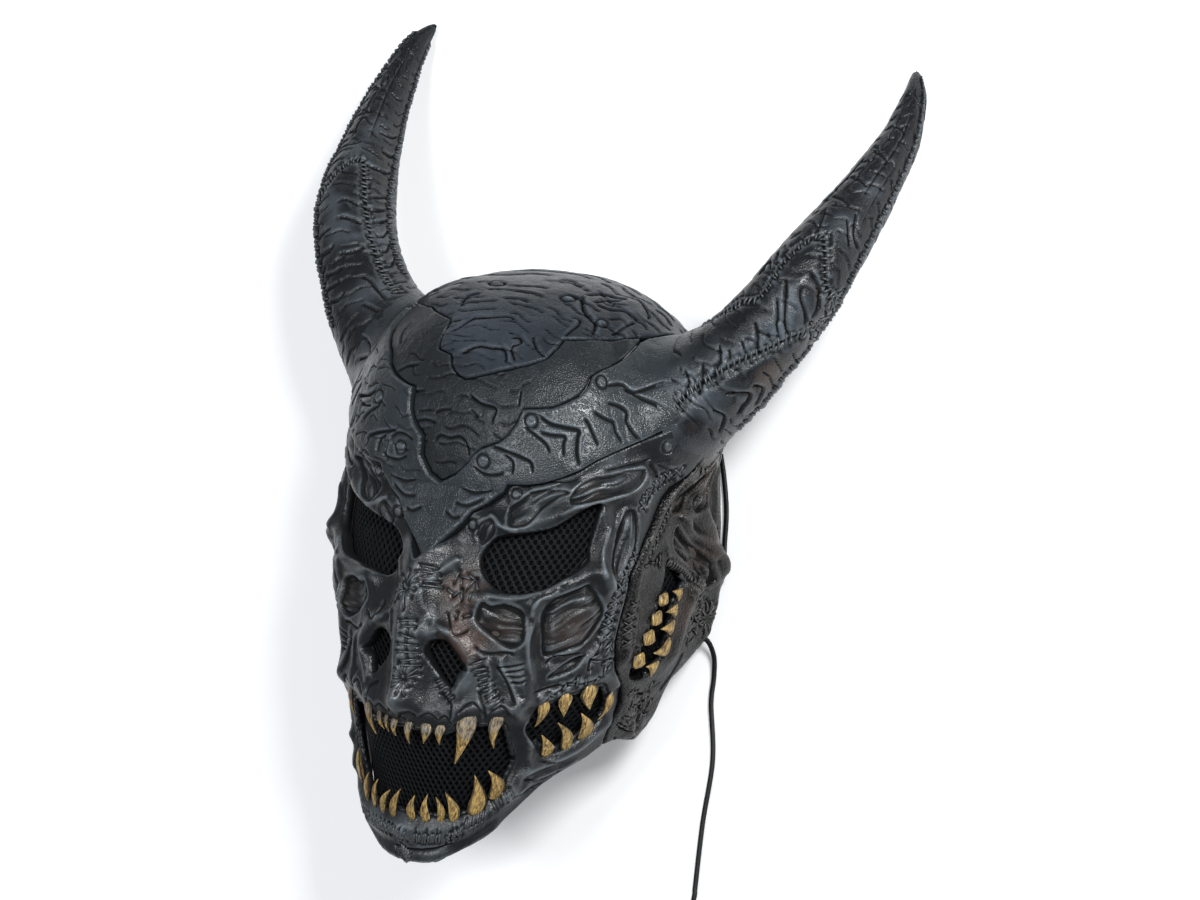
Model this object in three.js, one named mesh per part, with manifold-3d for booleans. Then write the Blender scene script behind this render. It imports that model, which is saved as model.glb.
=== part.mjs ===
// A horned demon mask of carved leather, lying on its back, in millimetres with +Z up.
//
// The mask is worked out in the head's own frame: x to the mask's left, y up the head and
// z out of the face. lay() turns that frame onto its back, so the rear rim rests on z = 0.
//
// A place on the mask is written [turn, rise]. turn is degrees round the head from the middle
// of the face, positive to the mask's left. rise is millimetres up the head as far as the
// brow, and from there it runs on over the dome to the crown.

import * as THREE from 'three';
import { mergeVertices } from 'three/addons/utils/BufferGeometryUtils.js';
import Module from 'manifold-3d';

const wasm = await Module();
wasm.setup();

// The head: its brow, crown and back, and how it lies
const BROW = 55;
const CROWN = 151;
const BACK = -128;
const DOME_ARC = 150;
const DOME_ROUNDING = 0.72;
const POLE = BROW + DOME_ARC;
const LIE_TILT = THREE.MathUtils.degToRad(17.5);
const RIM_DEPTH = 77.25;
const LENGTHWISE_SHIFT = -65.05;

// The leather: its thickness, the seams between pieces, and the steps of the grids it is bent on
const WALL = 5;
const THINNEST = 2;
const SEAM_GAP = 0.7;
const CARVING_STEP = 15;
const DOME_STEP = 24;
const INSET_STEP = 30;
const OUTLINE_TURN = 5;

// How far the plates of the forehead stand out of the face
const BROW_PLATE_LIFT = 3.5;
const KEYSTONE_LIFT = 0.8;
const CROWN_PLATE_LIFT = 1;

// Teeth, and the fabric behind the openings
const TOOTH_FRONT = 1;
const TOOTH_BAND = 2.4;
const FABRIC = 0.8;
const FABRIC_GAP = 0.9;
const FABRIC_MARGIN = 4;

// Each section up the head: height, front depth, half width, centre depth, squareness
const SECTIONS = [
  [-152, 80, 20, 40, 2],
  [-147, 89, 38, 24, 2.1],
  [-134, 94, 56, 4, 2.25],
  [-108, 93, 72, -18, 2.15],
  [-75, 93, 84, -26, 2.1],
  [-45, 90, 95, -30, 2.1],
  [-10, 84, 101, -32, 2.2],
  [20, 70, 102, -33, 2.4],
  [55, 57, 100, -34, 2.4],
];

// Slope of a column of SECTIONS at row i, weighted by the spacing of the rows
function slope(column, i) {
  const last = SECTIONS.length - 1;
  const before = SECTIONS[Math.max(i - 1, 0)];
  const here = SECTIONS[i];
  const after = SECTIONS[Math.min(i + 1, last)];
  if (i === 0 || i === last) {
    return (after[column] - before[column]) / (after[0] - before[0]);
  }
  const down = here[0] - before[0];
  const up = after[0] - here[0];
  const weighted = down * down * after[column] + (up * up - down * down) * here[column]
    - up * up * before[column];
  return weighted / (down * up * (down + up));
}

// A column of SECTIONS at any height, by a smooth cubic through its rows
function sectionValue(column, height) {
  let i = SECTIONS.findIndex((row) => row[0] > height) - 1;
  if (i < 0) i = height < SECTIONS[0][0] ? 0 : SECTIONS.length - 2;
  const span = SECTIONS[i + 1][0] - SECTIONS[i][0];
  const t = THREE.MathUtils.clamp((height - SECTIONS[i][0]) / span, 0, 1);
  return (2 * t ** 3 - 3 * t ** 2 + 1) * SECTIONS[i][column]
    + (t ** 3 - 2 * t ** 2 + t) * span * slope(column, i)
    + (3 * t ** 2 - 2 * t ** 3) * SECTIONS[i + 1][column]
    + (t ** 3 - t ** 2) * span * slope(column, i + 1);
}

// The bare form of the head at a place, in the head's frame
function headPoint(turn, rise) {
  const height = Math.min(rise, BROW);
  const [front, half, centre, square] = [1, 2, 3, 4].map((c) => sectionValue(c, height));
  const over = THREE.MathUtils.clamp((rise - BROW) / DOME_ARC, 0, 1) * Math.PI / 2;
  const shrink = Math.cos(over) ** DOME_ROUNDING;
  const angle = THREE.MathUtils.degToRad(turn);
  const across = Math.sin(angle);
  const forward = Math.cos(angle);
  const depth = forward >= 0 ? front - centre : centre - BACK;
  const power = 2 / (forward >= 0 ? 2 + (square - 2) * Math.cos(over) : 2);
  return new THREE.Vector3(
    half * shrink * Math.sign(across) * Math.abs(across) ** power,
    height + (CROWN - BROW) * Math.sin(over),
    centre + depth * shrink * Math.sign(forward) * Math.abs(forward) ** power,
  );
}

// A point that stands lift millimetres out of the bare form, along its normal
function liftedPoint(turn, rise, lift) {
  const near = Math.min(rise, POLE - 2);
  const round = headPoint(turn + 1, near).sub(headPoint(turn - 1, near));
  const up = headPoint(turn, near + 1).sub(headPoint(turn, near - 1));
  return headPoint(turn, rise).addScaledVector(round.cross(up).normalize(), lift);
}

// From the head's frame to the mask lying on its rear rim
function lay(p) {
  return new THREE.Vector3(
    p.x,
    p.y * Math.cos(LIE_TILT) - p.z * Math.sin(LIE_TILT) + LENGTHWISE_SHIFT,
    p.y * Math.sin(LIE_TILT) + p.z * Math.cos(LIE_TILT) + RIM_DEPTH,
  );
}

// Two flat maps of the chart, in about true millimetres. The first unrolls the head like a
// cylinder, by its girth at the height of the nose. The second looks down on the dome.
const girths = [0];
for (let turn = 1; turn <= 180; turn += 1) {
  girths.push(girths[turn - 1] + headPoint(turn, 0).distanceTo(headPoint(turn - 1, 0)));
}

function girthAt(turn) {
  const whole = Math.min(Math.floor(Math.abs(turn)), 179);
  const part = Math.abs(turn) - whole;
  return Math.sign(turn) * THREE.MathUtils.lerp(girths[whole], girths[whole + 1], part);
}

function turnAt(girth) {
  const target = Math.abs(girth);
  const whole = Math.min(Math.max(girths.findIndex((g) => g > target) - 1, 0), 179);
  const step = girths[whole + 1] - girths[whole];
  return Math.sign(girth) * (whole + (target - girths[whole]) / step);
}

const aroundHead = {
  flatten: ([turn, rise]) => new THREE.Vector2(girthAt(turn), rise),
  place: (p) => [turnAt(p.x), p.y],
};

const overDome = {
  flatten: ([turn, rise]) => {
    const angle = THREE.MathUtils.degToRad(turn);
    return new THREE.Vector2(Math.sin(angle), -Math.cos(angle)).multiplyScalar(POLE - rise);
  },
  place: (p) => [THREE.MathUtils.radToDeg(Math.atan2(p.x, -p.y)), POLE - p.length()],
};

// Outlines are lists of places. A far half is the near one seen in a mirror.
function mirrored(places) {
  return places.map(([turn, rise]) => [-turn, rise]).reverse();
}

function bothSides(places) {
  return [...places, ...mirrored(places)];
}

// The same closed outline with a point at least every OUTLINE_TURN round the head
function stepped(places) {
  return places.flatMap((from, i) => {
    const to = places[(i + 1) % places.length];
    const way = THREE.MathUtils.euclideanModulo(to[0] - from[0] + 180, 360) - 180;
    const count = Math.max(1, Math.ceil(Math.abs(way) / OUTLINE_TURN));
    return Array.from({ length: count }, (_, k) => [
      from[0] + way * k / count,
      THREE.MathUtils.lerp(from[1], to[1], k / count),
    ]);
  });
}

// The same closed outline without repeated points or points along a straight side
function cornersOf(points) {
  const around = (ring, i) => [ring[(i + ring.length - 1) % ring.length], ring[(i + 1) % ring.length]];
  const apart = points.filter((p, i) => p.distanceTo(around(points, i)[1]) > 0.05);
  return apart.filter((p, i) => {
    const [before, after] = around(apart, i);
    return Math.abs(p.clone().sub(before).cross(after.clone().sub(p))) > 0.02;
  });
}

// A closed outline moved outwards by a distance, or inwards if it is negative
function grown(points, distance) {
  const ring = cornersOf(points);
  const turned = Math.sign(THREE.ShapeUtils.area(ring));
  return ring.map((p, i) => {
    const before = ring[(i + ring.length - 1) % ring.length];
    const after = ring[(i + 1) % ring.length];
    const into = p.clone().sub(before).normalize();
    const out = after.clone().sub(p).normalize();
    const middle = new THREE.Vector2(into.y + out.y, -into.x - out.x).normalize();
    const reach = Math.max(Math.sqrt((1 + into.dot(out)) / 2), 0.5);
    return p.clone().addScaledVector(middle, turned * distance / reach);
  });
}

// Solids for cutting and joining
function solidOf(geometry) {
  const bare = geometry.clone();
  bare.deleteAttribute('normal');
  bare.deleteAttribute('uv');
  const merged = mergeVertices(bare, 1e-4);
  return new wasm.Manifold(new wasm.Mesh({
    numProp: 3,
    vertProperties: new Float32Array(merged.attributes.position.array),
    triVerts: new Uint32Array(merged.index.array),
  }));
}

function geometryOf(solid) {
  const mesh = solid.getMesh();
  const geometry = new THREE.BufferGeometry();
  geometry.setAttribute('position', new THREE.BufferAttribute(mesh.vertProperties, 3));
  geometry.setIndex(new THREE.BufferAttribute(mesh.triVerts, 1));
  return geometry;
}

// While a flat sheet is cut it is dished a little, which keeps the corners of its grid
const DISH = 3000;
const SHEET = 4;
const CUT_DEPTH = 120;

function dish(x, y) {
  return (x * x + y * y) / DISH;
}

// The outline is turned while it is filled, so that no three of its corners lie level
const FILLING_TURN = 0.37;

function prism(points) {
  const origin = new THREE.Vector2();
  const turned = cornersOf(points).map((p) => p.clone().rotateAround(origin, FILLING_TURN));
  const block = new THREE.ExtrudeGeometry(new THREE.Shape(turned), {
    depth: CUT_DEPTH,
    bevelEnabled: false,
  });
  block.rotateZ(-FILLING_TURN);
  block.translate(0, 0, -CUT_DEPTH / 4);
  return solidOf(block);
}

function sheetOver(points, step) {
  const box = new THREE.Box2().setFromPoints(points);
  const low = box.min.divideScalar(step).floor().multiplyScalar(step);
  const high = box.max.divideScalar(step).ceil().multiplyScalar(step);
  const size = high.clone().sub(low);
  const sheet = new THREE.BoxGeometry(
    size.x, size.y, SHEET, Math.round(size.x / step), Math.round(size.y / step), 1,
  );
  sheet.translate((low.x + high.x) / 2, (low.y + high.y) / 2, SHEET / 2);
  const corners = sheet.attributes.position;
  for (let i = 0; i < corners.count; i += 1) {
    corners.setZ(i, corners.getZ(i) + dish(corners.getX(i), corners.getY(i)));
  }
  return solidOf(sheet);
}

// Bends a cut sheet onto the head, between an under and an outer lift
function bent(flat, map, under, outer) {
  const mesh = flat.getMesh();
  const corners = mesh.vertProperties;
  for (let i = 0; i < corners.length; i += 3) {
    const [turn, rise] = map.place(new THREE.Vector2(corners[i], corners[i + 1]));
    const share = (corners[i + 2] - dish(corners[i], corners[i + 1])) / SHEET;
    const lift = THREE.MathUtils.lerp(under, outer(turn, rise), share);
    lay(liftedPoint(turn, rise, lift)).toArray(corners, i);
  }
  return new wasm.Manifold(new wasm.Mesh({
    numProp: 3,
    vertProperties: corners,
    triVerts: mesh.triVerts,
  }));
}

// A piece of the shell: an outline less its openings, bent onto the head
function shellPiece(map, outline, openings, outer, step) {
  const edge = grown(outline.map(map.flatten), -SEAM_GAP / 2);
  let flat = sheetOver(edge, step).intersect(prism(edge));
  for (const opening of openings) {
    flat = flat.subtract(prism(opening.map(map.flatten)));
  }
  return bent(flat, map, -WALL, outer);
}

// What lies behind the rear rim's plane is cut away, so the rim is flat
const behindRim = solidOf(new THREE.BoxGeometry(800, 1000, 200).translate(0, 0, -100));

function onRim(solid) {
  return solid.subtract(behindRim);
}

// A smooth closed outline through a few places
function rounded(places, count) {
  const curve = new THREE.CatmullRomCurve3(
    places.map(([turn, rise]) => new THREE.Vector3(turn, rise, 0)), true, 'catmullrom', 0.5,
  );
  return curve.getPoints(count).slice(0, count).map((p) => [p.x, p.y]);
}

// Seams between the pieces, near side to the mask's left
const CROWN_SEAM = [
  [-97, 132], [-84, 138], [-60, 150], [-40, 155], [-15, 151.5], [-13, 146], [-12, 138],
  [-10, 130], [-4, 128], [-2, 121], [0.3, 116], [3, 114], [7, 116.5], [16.5, 122], [27, 126.5],
  [34, 130.5], [39, 137.5], [43, 143.5], [60, 142], [81, 137], [97, 132],
];
const BROW_SEAM = [
  [-84, 135], [-62, 142], [-52, 129], [-36, 119.5], [-31, 113], [-24, 108.5], [-16, 105.5],
  [-12.5, 105], [-12, 98.5], [-10.7, 91], [-8.8, 86], [-5.2, 79.5], [-5, 69], [-2.3, 60.5],
  [0, 57], [3.5, 62], [7, 69], [8.5, 73.5], [11, 77.5], [16.5, 81.5], [19.5, 86], [22, 92],
  [24.5, 100.3], [35, 101.5], [39.5, 104], [45.5, 108], [49.5, 113.5], [51.5, 118.5],
  [56, 121.5], [62.5, 124], [69, 127.5], [79, 134.5],
];
const BROW_GROOVE = [
  [0, 15.5], [3, 26], [7.5, 36.5], [10, 43.5], [14, 48], [18, 54], [20, 60], [26.5, 60.5],
  [32, 62], [38, 65], [44, 68.5], [49.5, 73], [56, 76.5], [64, 80], [70, 82.5], [77, 86],
  [85, 92], [97, 98],
];
const TEMPLE_SEAM = [
  [85, 92], [87, 78], [85, 62], [76, 47.5], [69, 28.8], [66.6, 20], [64.5, 11], [64.3, -2],
  [64, -12], [63.8, -27.5], [65.3, -42], [68.8, -52], [70.6, -62], [71, -75], [71, -88.5],
];
const JAW_EDGE = [
  [71, -88.5], [66.5, -93], [59, -98], [52.5, -104.5], [46.5, -116], [38, -131], [20, -146],
  [0, -150],
];
const SIDE_EDGE = [
  [71, -88.5], [75, -88], [80, -90], [84, -92], [88, -87], [89.5, -80], [90, -68], [91, -60],
  [98, -54], [106, -47], [116, -41],
];

// Openings
const EYE = rounded([
  [14, 21], [15.5, 28], [18.5, 32.5], [27, 35.5], [35, 38], [39, 41], [48.5, 49.5], [52, 49.5],
  [51, 43], [49.5, 28], [49.3, 20.5], [43.5, 13.5], [35.5, 6.5], [26, 5.3], [20, 8.5],
  [15.5, 14.8],
], 24);
const NOSTRIL = rounded([
  [5.3, -27.5], [7, -22], [11.8, -22], [17.2, -31.5], [19.3, -35.5], [16.5, -38], [14.8, -46.5],
  [10.3, -40], [6.8, -32.5],
], 14);
const FAR_EYE = rounded([
  [-52, 49.5], [-48.5, 49.5], [-39, 41], [-27, 36], [-15.5, 31.5], [-10, 28], [-6.5, 20.5],
  [-6, 15], [-7.5, 8.8], [-10.5, 5.8], [-15, 5.8], [-22, 6.5], [-35.5, 7.5], [-43.5, 13.5],
  [-49.3, 20.5], [-51, 43],
], 24);
const MOUTH = rounded(bothSides([
  [5, -69.5], [16, -70], [19, -65], [29, -65], [34, -65], [38.7, -79.5], [40.3, -88],
  [38, -99.5], [33, -110], [26.5, -116], [14, -118],
]), 36);
const CHEEK = rounded([
  [41.3, -70], [42.3, -62.5], [44.5, -56], [51.8, -52], [61.5, -48.8], [64.5, -53.5],
  [67, -63], [66, -71.5], [60, -79.8], [53, -84.5], [47.5, -81],
], 18);
const TEMPLE = rounded([
  [80.5, 9.5], [87.5, -1], [84, -12], [83.2, -28], [81.7, -43.5], [77, -52], [71.3, -48],
  [73, -30], [76.5, -11], [78.7, 0],
], 18);

// Distance from a place to a line of places, in flat millimetres
function distanceTo(line, turn, rise) {
  const p = aroundHead.flatten([turn, rise]);
  const flat = line.map(aroundHead.flatten);
  let least = Infinity;
  for (let i = 0; i + 1 < flat.length; i += 1) {
    const along = flat[i + 1].clone().sub(flat[i]);
    const offset = p.clone().sub(flat[i]);
    const share = THREE.MathUtils.clamp(offset.dot(along) / along.lengthSq(), 0, 1);
    least = Math.min(least, offset.addScaledVector(along, -share).length());
  }
  return least;
}

// A carved form: a ridge or, with a height below zero, a groove along a line of places
function ridge(width, height, ...line) {
  return (turn, rise) => height * Math.exp(-((distanceTo(line, turn, rise) / width) ** 2));
}

// The sum of some forms, the same on both sides, never thinner than THINNEST
function carved(forms) {
  return (turn, rise) => Math.max(
    forms.reduce((sum, form) => sum + form(Math.abs(turn), rise), 0),
    THINNEST - WALL,
  );
}

const CHEEKBONE = ridge(14, 3.5, [66, 46], [64, 24], [60, 4]);
const faceForms = [
  CHEEKBONE,
  ridge(6, 4, [11, 41], [20, 38], [32, 42], [42, 48.5], [52, 54], [60, 57], [68, 60]),
  ridge(4, 2.5, [22, 54], [40, 57], [56, 63], [66, 66]),
  ridge(5, 3, [16, 2], [24, 0.5], [34, 2], [44, 9], [52, 15], [57, 10]),
  ridge(5, 3, [36, -2], [35, -20], [36, -40], [39, -52]),
  ridge(5, 3, [53, 44], [55, 30], [54, 17], [57, 6]),
  ridge(4, 2.5, [61, 40], [63, 28], [60, 12]),
  ridge(10, 3, [49, -2], [48, -22]),
  ridge(7, -2.5, [25, -5], [26, -17]),
  ridge(4, -2, [40, -4], [40, -28], [52, -30], [60, -12]),
  ridge(11, 6, [0, 20], [0, -10], [0, -50]),
  ridge(4, 3, [6, -18], [13, -18], [20, -32], [17, -48]),
  ridge(7, 3.5, [0, -58], [14, -60], [24, -56], [36, -56]),
  ridge(4, 2.5, [36, -56], [43, -72], [44, -90], [40, -106]),
  ridge(4, 2.5, [44, -52], [60, -44], [67, -50]),
  ridge(4, 2.5, [46, -92], [60, -84], [69, -74]),
  ridge(6, 3, [0, -127], [20, -126], [34, -118], [42, -106]),
  ridge(4, 2, [0, -144], [22, -140], [40, -124]),
];
const sideForms = [
  CHEEKBONE,
  ridge(4, 2.5, [86, 66], [78, 46], [72, 28], [68, 10], [68, -12], [68, -36]),
  ridge(4, 3, [86, 36], [95, 26], [101, 10], [97, -6], [90, -8]),
  ridge(5, -3, [90, 28], [94, 12], [90, 0]),
  ridge(4, 3, [91, 56], [96, 34], [106, 8], [112, -12]),
  ridge(4, -3, [85, 52], [84, 40], [90, 44]),
  ridge(6, 3, [90, -6], [88, -24], [86, -42]),
  ridge(7, 4, [106, 4], [108, -20], [104, -38]),
  ridge(6, 3, [72, -60], [76, -72], [82, -84]),
  ridge(3, -2.5, [80, -70], [83, -84]),
  ridge(6, 4, [108, 62], [116, 70]),
];

// The pad under each horn, where every plate comes to one level
const HORN_TURN = 95;
const HORN_RISE = 108;
const HORN_PAD = 54;
const HORN_PAD_LIFT = 3;

function padded(outer) {
  return (turn, rise) => {
    const reach = distanceTo([[HORN_TURN, HORN_RISE], [HORN_TURN, HORN_RISE + 1]],
      Math.abs(turn), rise);
    const share = THREE.MathUtils.smoothstep(reach, HORN_PAD, HORN_PAD + 12);
    return THREE.MathUtils.lerp(HORN_PAD_LIFT, outer(turn, rise), share);
  };
}

const faceLift = carved(faceForms);
const sideLift = padded(carved(sideForms));
const browLift = padded((turn, rise) => {
  const edge = distanceTo(BROW_GROOVE, Math.abs(turn), rise);
  return BROW_PLATE_LIFT + 1.5 * Math.exp(-((edge / 14) ** 2));
});
const keystoneLift = padded(() => KEYSTONE_LIFT);
const crownLift = padded(() => CROWN_PLATE_LIFT);

// The outlines of the shell's pieces
const PANEL_TOP = [[97, 98], [120, 98], [152, 98]];
const FACE = bothSides([
  ...BROW_GROOVE.slice(0, -1), ...TEMPLE_SEAM.slice(1), ...JAW_EDGE.slice(1, -1),
]);
const SIDE_PANEL = [
  [85, 92], ...PANEL_TOP, [140, 50], [128, 0], ...[...SIDE_EDGE].reverse(),
  ...[...TEMPLE_SEAM].reverse().slice(1, -1),
];
const BROW_PLATE = [
  ...mirrored(BROW_GROOVE).slice(0, -1), ...BROW_GROOVE, [97, 132], [84, 135.6],
  ...[...BROW_SEAM].reverse(), [-84, 137], [-97, 132],
];
const KEYSTONE = [...BROW_SEAM, [81, 137], ...[...CROWN_SEAM].reverse().slice(2, -2)];
const DOME = [
  ...CROWN_SEAM, ...PANEL_TOP, [180, 98], ...mirrored(PANEL_TOP),
];

// A closed body through rings of points, with a flat fan over each end
function skinned(rings) {
  const count = rings[0].length;
  const corners = rings.flat();
  const triangles = [];
  for (let r = 0; r + 1 < rings.length; r += 1) {
    for (let i = 0; i < count; i += 1) {
      const a = r * count + i;
      const b = r * count + ((i + 1) % count);
      triangles.push([a, b, a + count], [b, b + count, a + count]);
    }
  }
  [rings[0], rings[rings.length - 1]].forEach((ring, end) => {
    const first = end * (rings.length - 1) * count;
    for (let i = 0; i < count; i += 1) {
      const fan = [corners.length, first + ((i + 1) % count), first + i];
      triangles.push(end === 0 ? fan : fan.reverse());
    }
    corners.push(ring.reduce((sum, p) => sum.add(p), new THREE.Vector3()).divideScalar(count));
  });
  const volume = triangles.reduce((sum, [a, b, c]) => (
    sum + corners[a].dot(corners[b].clone().cross(corners[c]))
  ), 0);
  const geometry = new THREE.BufferGeometry().setFromPoints(corners);
  geometry.setIndex(triangles.flatMap((t) => (volume < 0 ? t.reverse() : t)));
  return geometry;
}

// The horns. Along the line: x, y and z of the middle, then half the width.
const HORN_LINE = [
  [82, 82, -30, 33], [103, 103, -38, 30], [118, 116, -43, 27], [130, 130, -49, 24.5],
  [142, 148, -57, 23], [153, 170, -72, 21.5], [162.5, 198, -99, 16.5], [168.5, 228, -129, 11.2],
  [167, 249.5, -147.5, 6.8], [162, 261, -158.5, 2.3],
];
const HORN_FACING = new THREE.Vector3(0.35, 0.12, 0.93);
const HORN_THICKNESS = 1.05;
const HORN_RINGS = 15;
const HORN_SIDES = 12;
const SEAT_GAP = 1.3;
const SEAT_STEP = 10;

function hornRings(side) {
  const middle = new THREE.CatmullRomCurve3(
    HORN_LINE.map(([x, y, z]) => new THREE.Vector3(x, y, z)),
  );
  const width = new THREE.CatmullRomCurve3(
    HORN_LINE.map((row, i) => new THREE.Vector3(i, row[3], 0)),
  );
  return Array.from({ length: HORN_RINGS }, (_, r) => {
    const share = r / (HORN_RINGS - 1);
    const along = middle.getTangent(share);
    const across = new THREE.Vector3().crossVectors(HORN_FACING, along).normalize();
    const out = new THREE.Vector3().crossVectors(along, across);
    const reach = width.getPoint(share).y;
    return Array.from({ length: HORN_SIDES }, (__, i) => {
      const angle = (i / HORN_SIDES) * 2 * Math.PI;
      const p = middle.getPoint(share)
        .addScaledVector(across, reach * Math.cos(angle))
        .addScaledVector(out, reach * HORN_THICKNESS * Math.sin(angle));
      return lay(new THREE.Vector3(p.x * side, p.y, p.z));
    });
  });
}

// The head at the level of the horn pads, with a gap, to seat the horns on
function hornSeat() {
  const rings = [];
  for (let rise = 10; rise < POLE; rise += SEAT_STEP) {
    const ring = [];
    for (let turn = 0; turn < 360; turn += SEAT_STEP) {
      ring.push(lay(liftedPoint(turn > 180 ? turn - 360 : turn, rise, HORN_PAD_LIFT + SEAT_GAP)));
    }
    rings.push(ring);
  }
  return solidOf(skinned(rings));
}

const seat = hornSeat();

function horn(side) {
  return solidOf(skinned(hornRings(side))).subtract(seat);
}

// Teeth are cut from leather. A row has a band along the edge of its opening, and each tooth
// is a root place, its width there, and the place of its tip.
const UPPER_TEETH = [
  [-32, -62, 8, -30, -76], [-17.3, -62, 9, -12.7, -78.7], [-10.5, -66, 6, -8, -74.3],
  [-7, -67, 5, -5.8, -75], [-3.5, -68, 7, -2.8, -76.5], [2, -68, 8, 2.5, -79],
  [8.5, -68, 9, 7.7, -77.8], [13.5, -68, 7, 13.8, -77.5], [22, -62, 13, 19.6, -87.5],
  [31.5, -62, 8, 32.3, -79],
];
const LOWER_TEETH = [
  [-33, -110, 12, -29, -93], [-24, -117, 8, -20.5, -103], [-16.5, -118, 8, -13.6, -104],
  [-10.8, -119, 8, -6.5, -107.5], [-4.8, -119, 9, -1.3, -105.3], [3.3, -119, 10, 4.5, -107.3],
  [9.8, -119, 9, 10, -105.5], [16.5, -118, 7, 13.3, -106.8], [22, -117, 9, 16.7, -103.3],
  [30, -113, 13, 27, -93.5], [36, -105, 11, 31.5, -91],
];
const CHEEK_UPPER_TEETH = [
  [45, -56, 7, 43.8, -68], [51, -53, 8, 52.3, -64], [58, -50.5, 10, 60.3, -62.5],
  [66, -58, 6, 64.5, -70],
];
const CHEEK_LOWER_TEETH = [
  [50.5, -84, 8, 47, -73], [56.5, -81.5, 8, 51, -67], [62, -77, 10, 57.8, -63.5],
];
const TEMPLE_FRONT_TEETH = [
  [77.7, -6, 9, 80, -10], [75.8, -16, 10, 78.4, -20], [73.8, -26, 10, 77, -30],
  [71.8, -38, 10, 75, -42],
];
const TEMPLE_REAR_TEETH = [
  [84.6, -8, 8, 81.4, -4], [83.6, -16, 9, 79.6, -15], [83, -25, 10, 78.4, -24],
  [82.7, -35, 11, 77.2, -37], [79.5, -47, 10, 75.6, -44],
];
const UPPER_HALF = bothSides([[0, -50], [60, -50], [60, -84], [0, -84]]);
const LOWER_HALF = bothSides([[0, -86], [60, -86], [60, -130], [0, -130]]);
const CHEEK_ABOVE = [[42, -40], [75, -40], [75, -72], [48, -66]];
const CHEEK_BELOW = [[44.5, -76], [67, -73], [67, -95], [44.5, -95]];
const TEMPLE_FORE = [[79, 6], [70, -10], [65, -44], [72, -44], [77, -12]];
const TEMPLE_AFT = [[83, 6], [92, -2], [86, -60], [76, -52], [80, -20]];

function toothOutline([rootTurn, rootRise, width, tipTurn, tipRise]) {
  const root = aroundHead.flatten([rootTurn, rootRise]);
  const tip = aroundHead.flatten([tipTurn, tipRise]);
  const along = tip.clone().sub(root);
  const length = along.length();
  along.normalize();
  const across = new THREE.Vector2(-along.y, along.x);
  const profile = [[-6, 0.5], [0, 0.5], [0.45 * length, 0.4], [length, 0.04]];
  const flank = (sign) => profile.map(([reach, share]) => root.clone()
    .addScaledVector(along, reach).addScaledVector(across, sign * share * width));
  return [...flank(-1), ...flank(1).reverse()];
}

function mirroredTeeth(teeth) {
  return teeth.map(([rootTurn, rootRise, width, tipTurn, tipRise]) => (
    [-rootTurn, rootRise, width, -tipTurn, tipRise]
  ));
}

function toothRow(opening, half, teeth) {
  const edge = opening.map(aroundHead.flatten);
  const inside = grown(edge, -SEAM_GAP);
  const hole = prism(grown(edge, -SEAM_GAP - TOOTH_BAND));
  let row = prism(inside).subtract(hole).intersect(prism(half.map(aroundHead.flatten)));
  for (const tooth of teeth) {
    row = row.add(prism(toothOutline(tooth)));
  }
  const flat = sheetOver(inside, INSET_STEP).intersect(prism(inside)).intersect(row);
  return bent(flat, aroundHead, -WALL, () => TOOTH_FRONT);
}

// The spacer fabric behind each opening, glued to the underside of the shell
const NOSE_WINDOW = bothSides([[0, -15], [11, -15], [24, -33], [17, -53]]);
const MOUTH_WINDOW = bothSides([
  [0, -60], [15, -60], [30, -57], [40, -48], [62, -43], [69, -54], [70.5, -72], [62, -86],
  [52, -90], [44, -96], [39, -110], [29, -121], [14, -124],
]);

function fabric(window) {
  const edge = window.map(aroundHead.flatten);
  const flat = sheetOver(edge, INSET_STEP).intersect(prism(edge));
  const front = -WALL - FABRIC_GAP;
  return bent(flat, aroundHead, front - FABRIC, () => front);
}

function fabricBehind(opening) {
  const edge = grown(opening.map(aroundHead.flatten), FABRIC_MARGIN);
  return fabric(edge.map(aroundHead.place));
}

// The lace from the near rear corner, laid out on the ground, with its spare length wound in a
// coil, and the short loop of it behind the near temple
const LACE_RADIUS = 1.5;
const LACE_SIDES = 8;
const LACE_PATH = [
  [95, -88, 6], [98, -102, 3], [98.5, -124, 1.8], [106.5, -154, 1.8], [107, -190, 1.8],
  [109.5, -230, 1.8], [112, -258, 1.8],
];
const LOOP_PATH = [
  [79, 12, 2.2], [83.4, 0, 2], [87.6, -14, 2], [89.6, -24, 2], [91, -36, 2], [92.6, -46, 2],
  [93.8, -54, 2.2],
];
const COIL_MIDDLE = [90, -262];
const COIL_RADIUS = 16.5;
const COIL_WIDTH = 7;
const COIL_HEIGHT = 5;

function circleOf(sides, across, up) {
  return Array.from({ length: sides }, (_, i) => {
    const angle = ((i + 0.5) / sides) * 2 * Math.PI;
    return new THREE.Vector2(across * Math.cos(angle), up * Math.sin(angle));
  });
}

function laceAlong(path, steps) {
  const section = new THREE.Shape(circleOf(LACE_SIDES, LACE_RADIUS, LACE_RADIUS));
  const line = new THREE.CatmullRomCurve3(path.map((p) => new THREE.Vector3(...p)));
  return solidOf(new THREE.ExtrudeGeometry(section, { steps, extrudePath: line }));
}

function coil() {
  const ring = circleOf(LACE_SIDES, COIL_WIDTH / 2, COIL_HEIGHT / 2)
    .map((p) => new THREE.Vector2(p.x + COIL_RADIUS, p.y));
  const geometry = new THREE.LatheGeometry([...ring, ring[0].clone()], 16);
  geometry.rotateX(Math.PI / 2);
  geometry.translate(COIL_MIDDLE[0], COIL_MIDDLE[1], COIL_HEIGHT / 2);
  return solidOf(geometry);
}

// Materials
function leather(colour, roughness) {
  return new THREE.MeshStandardMaterial({ color: colour, roughness, metalness: 0 });
}

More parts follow.
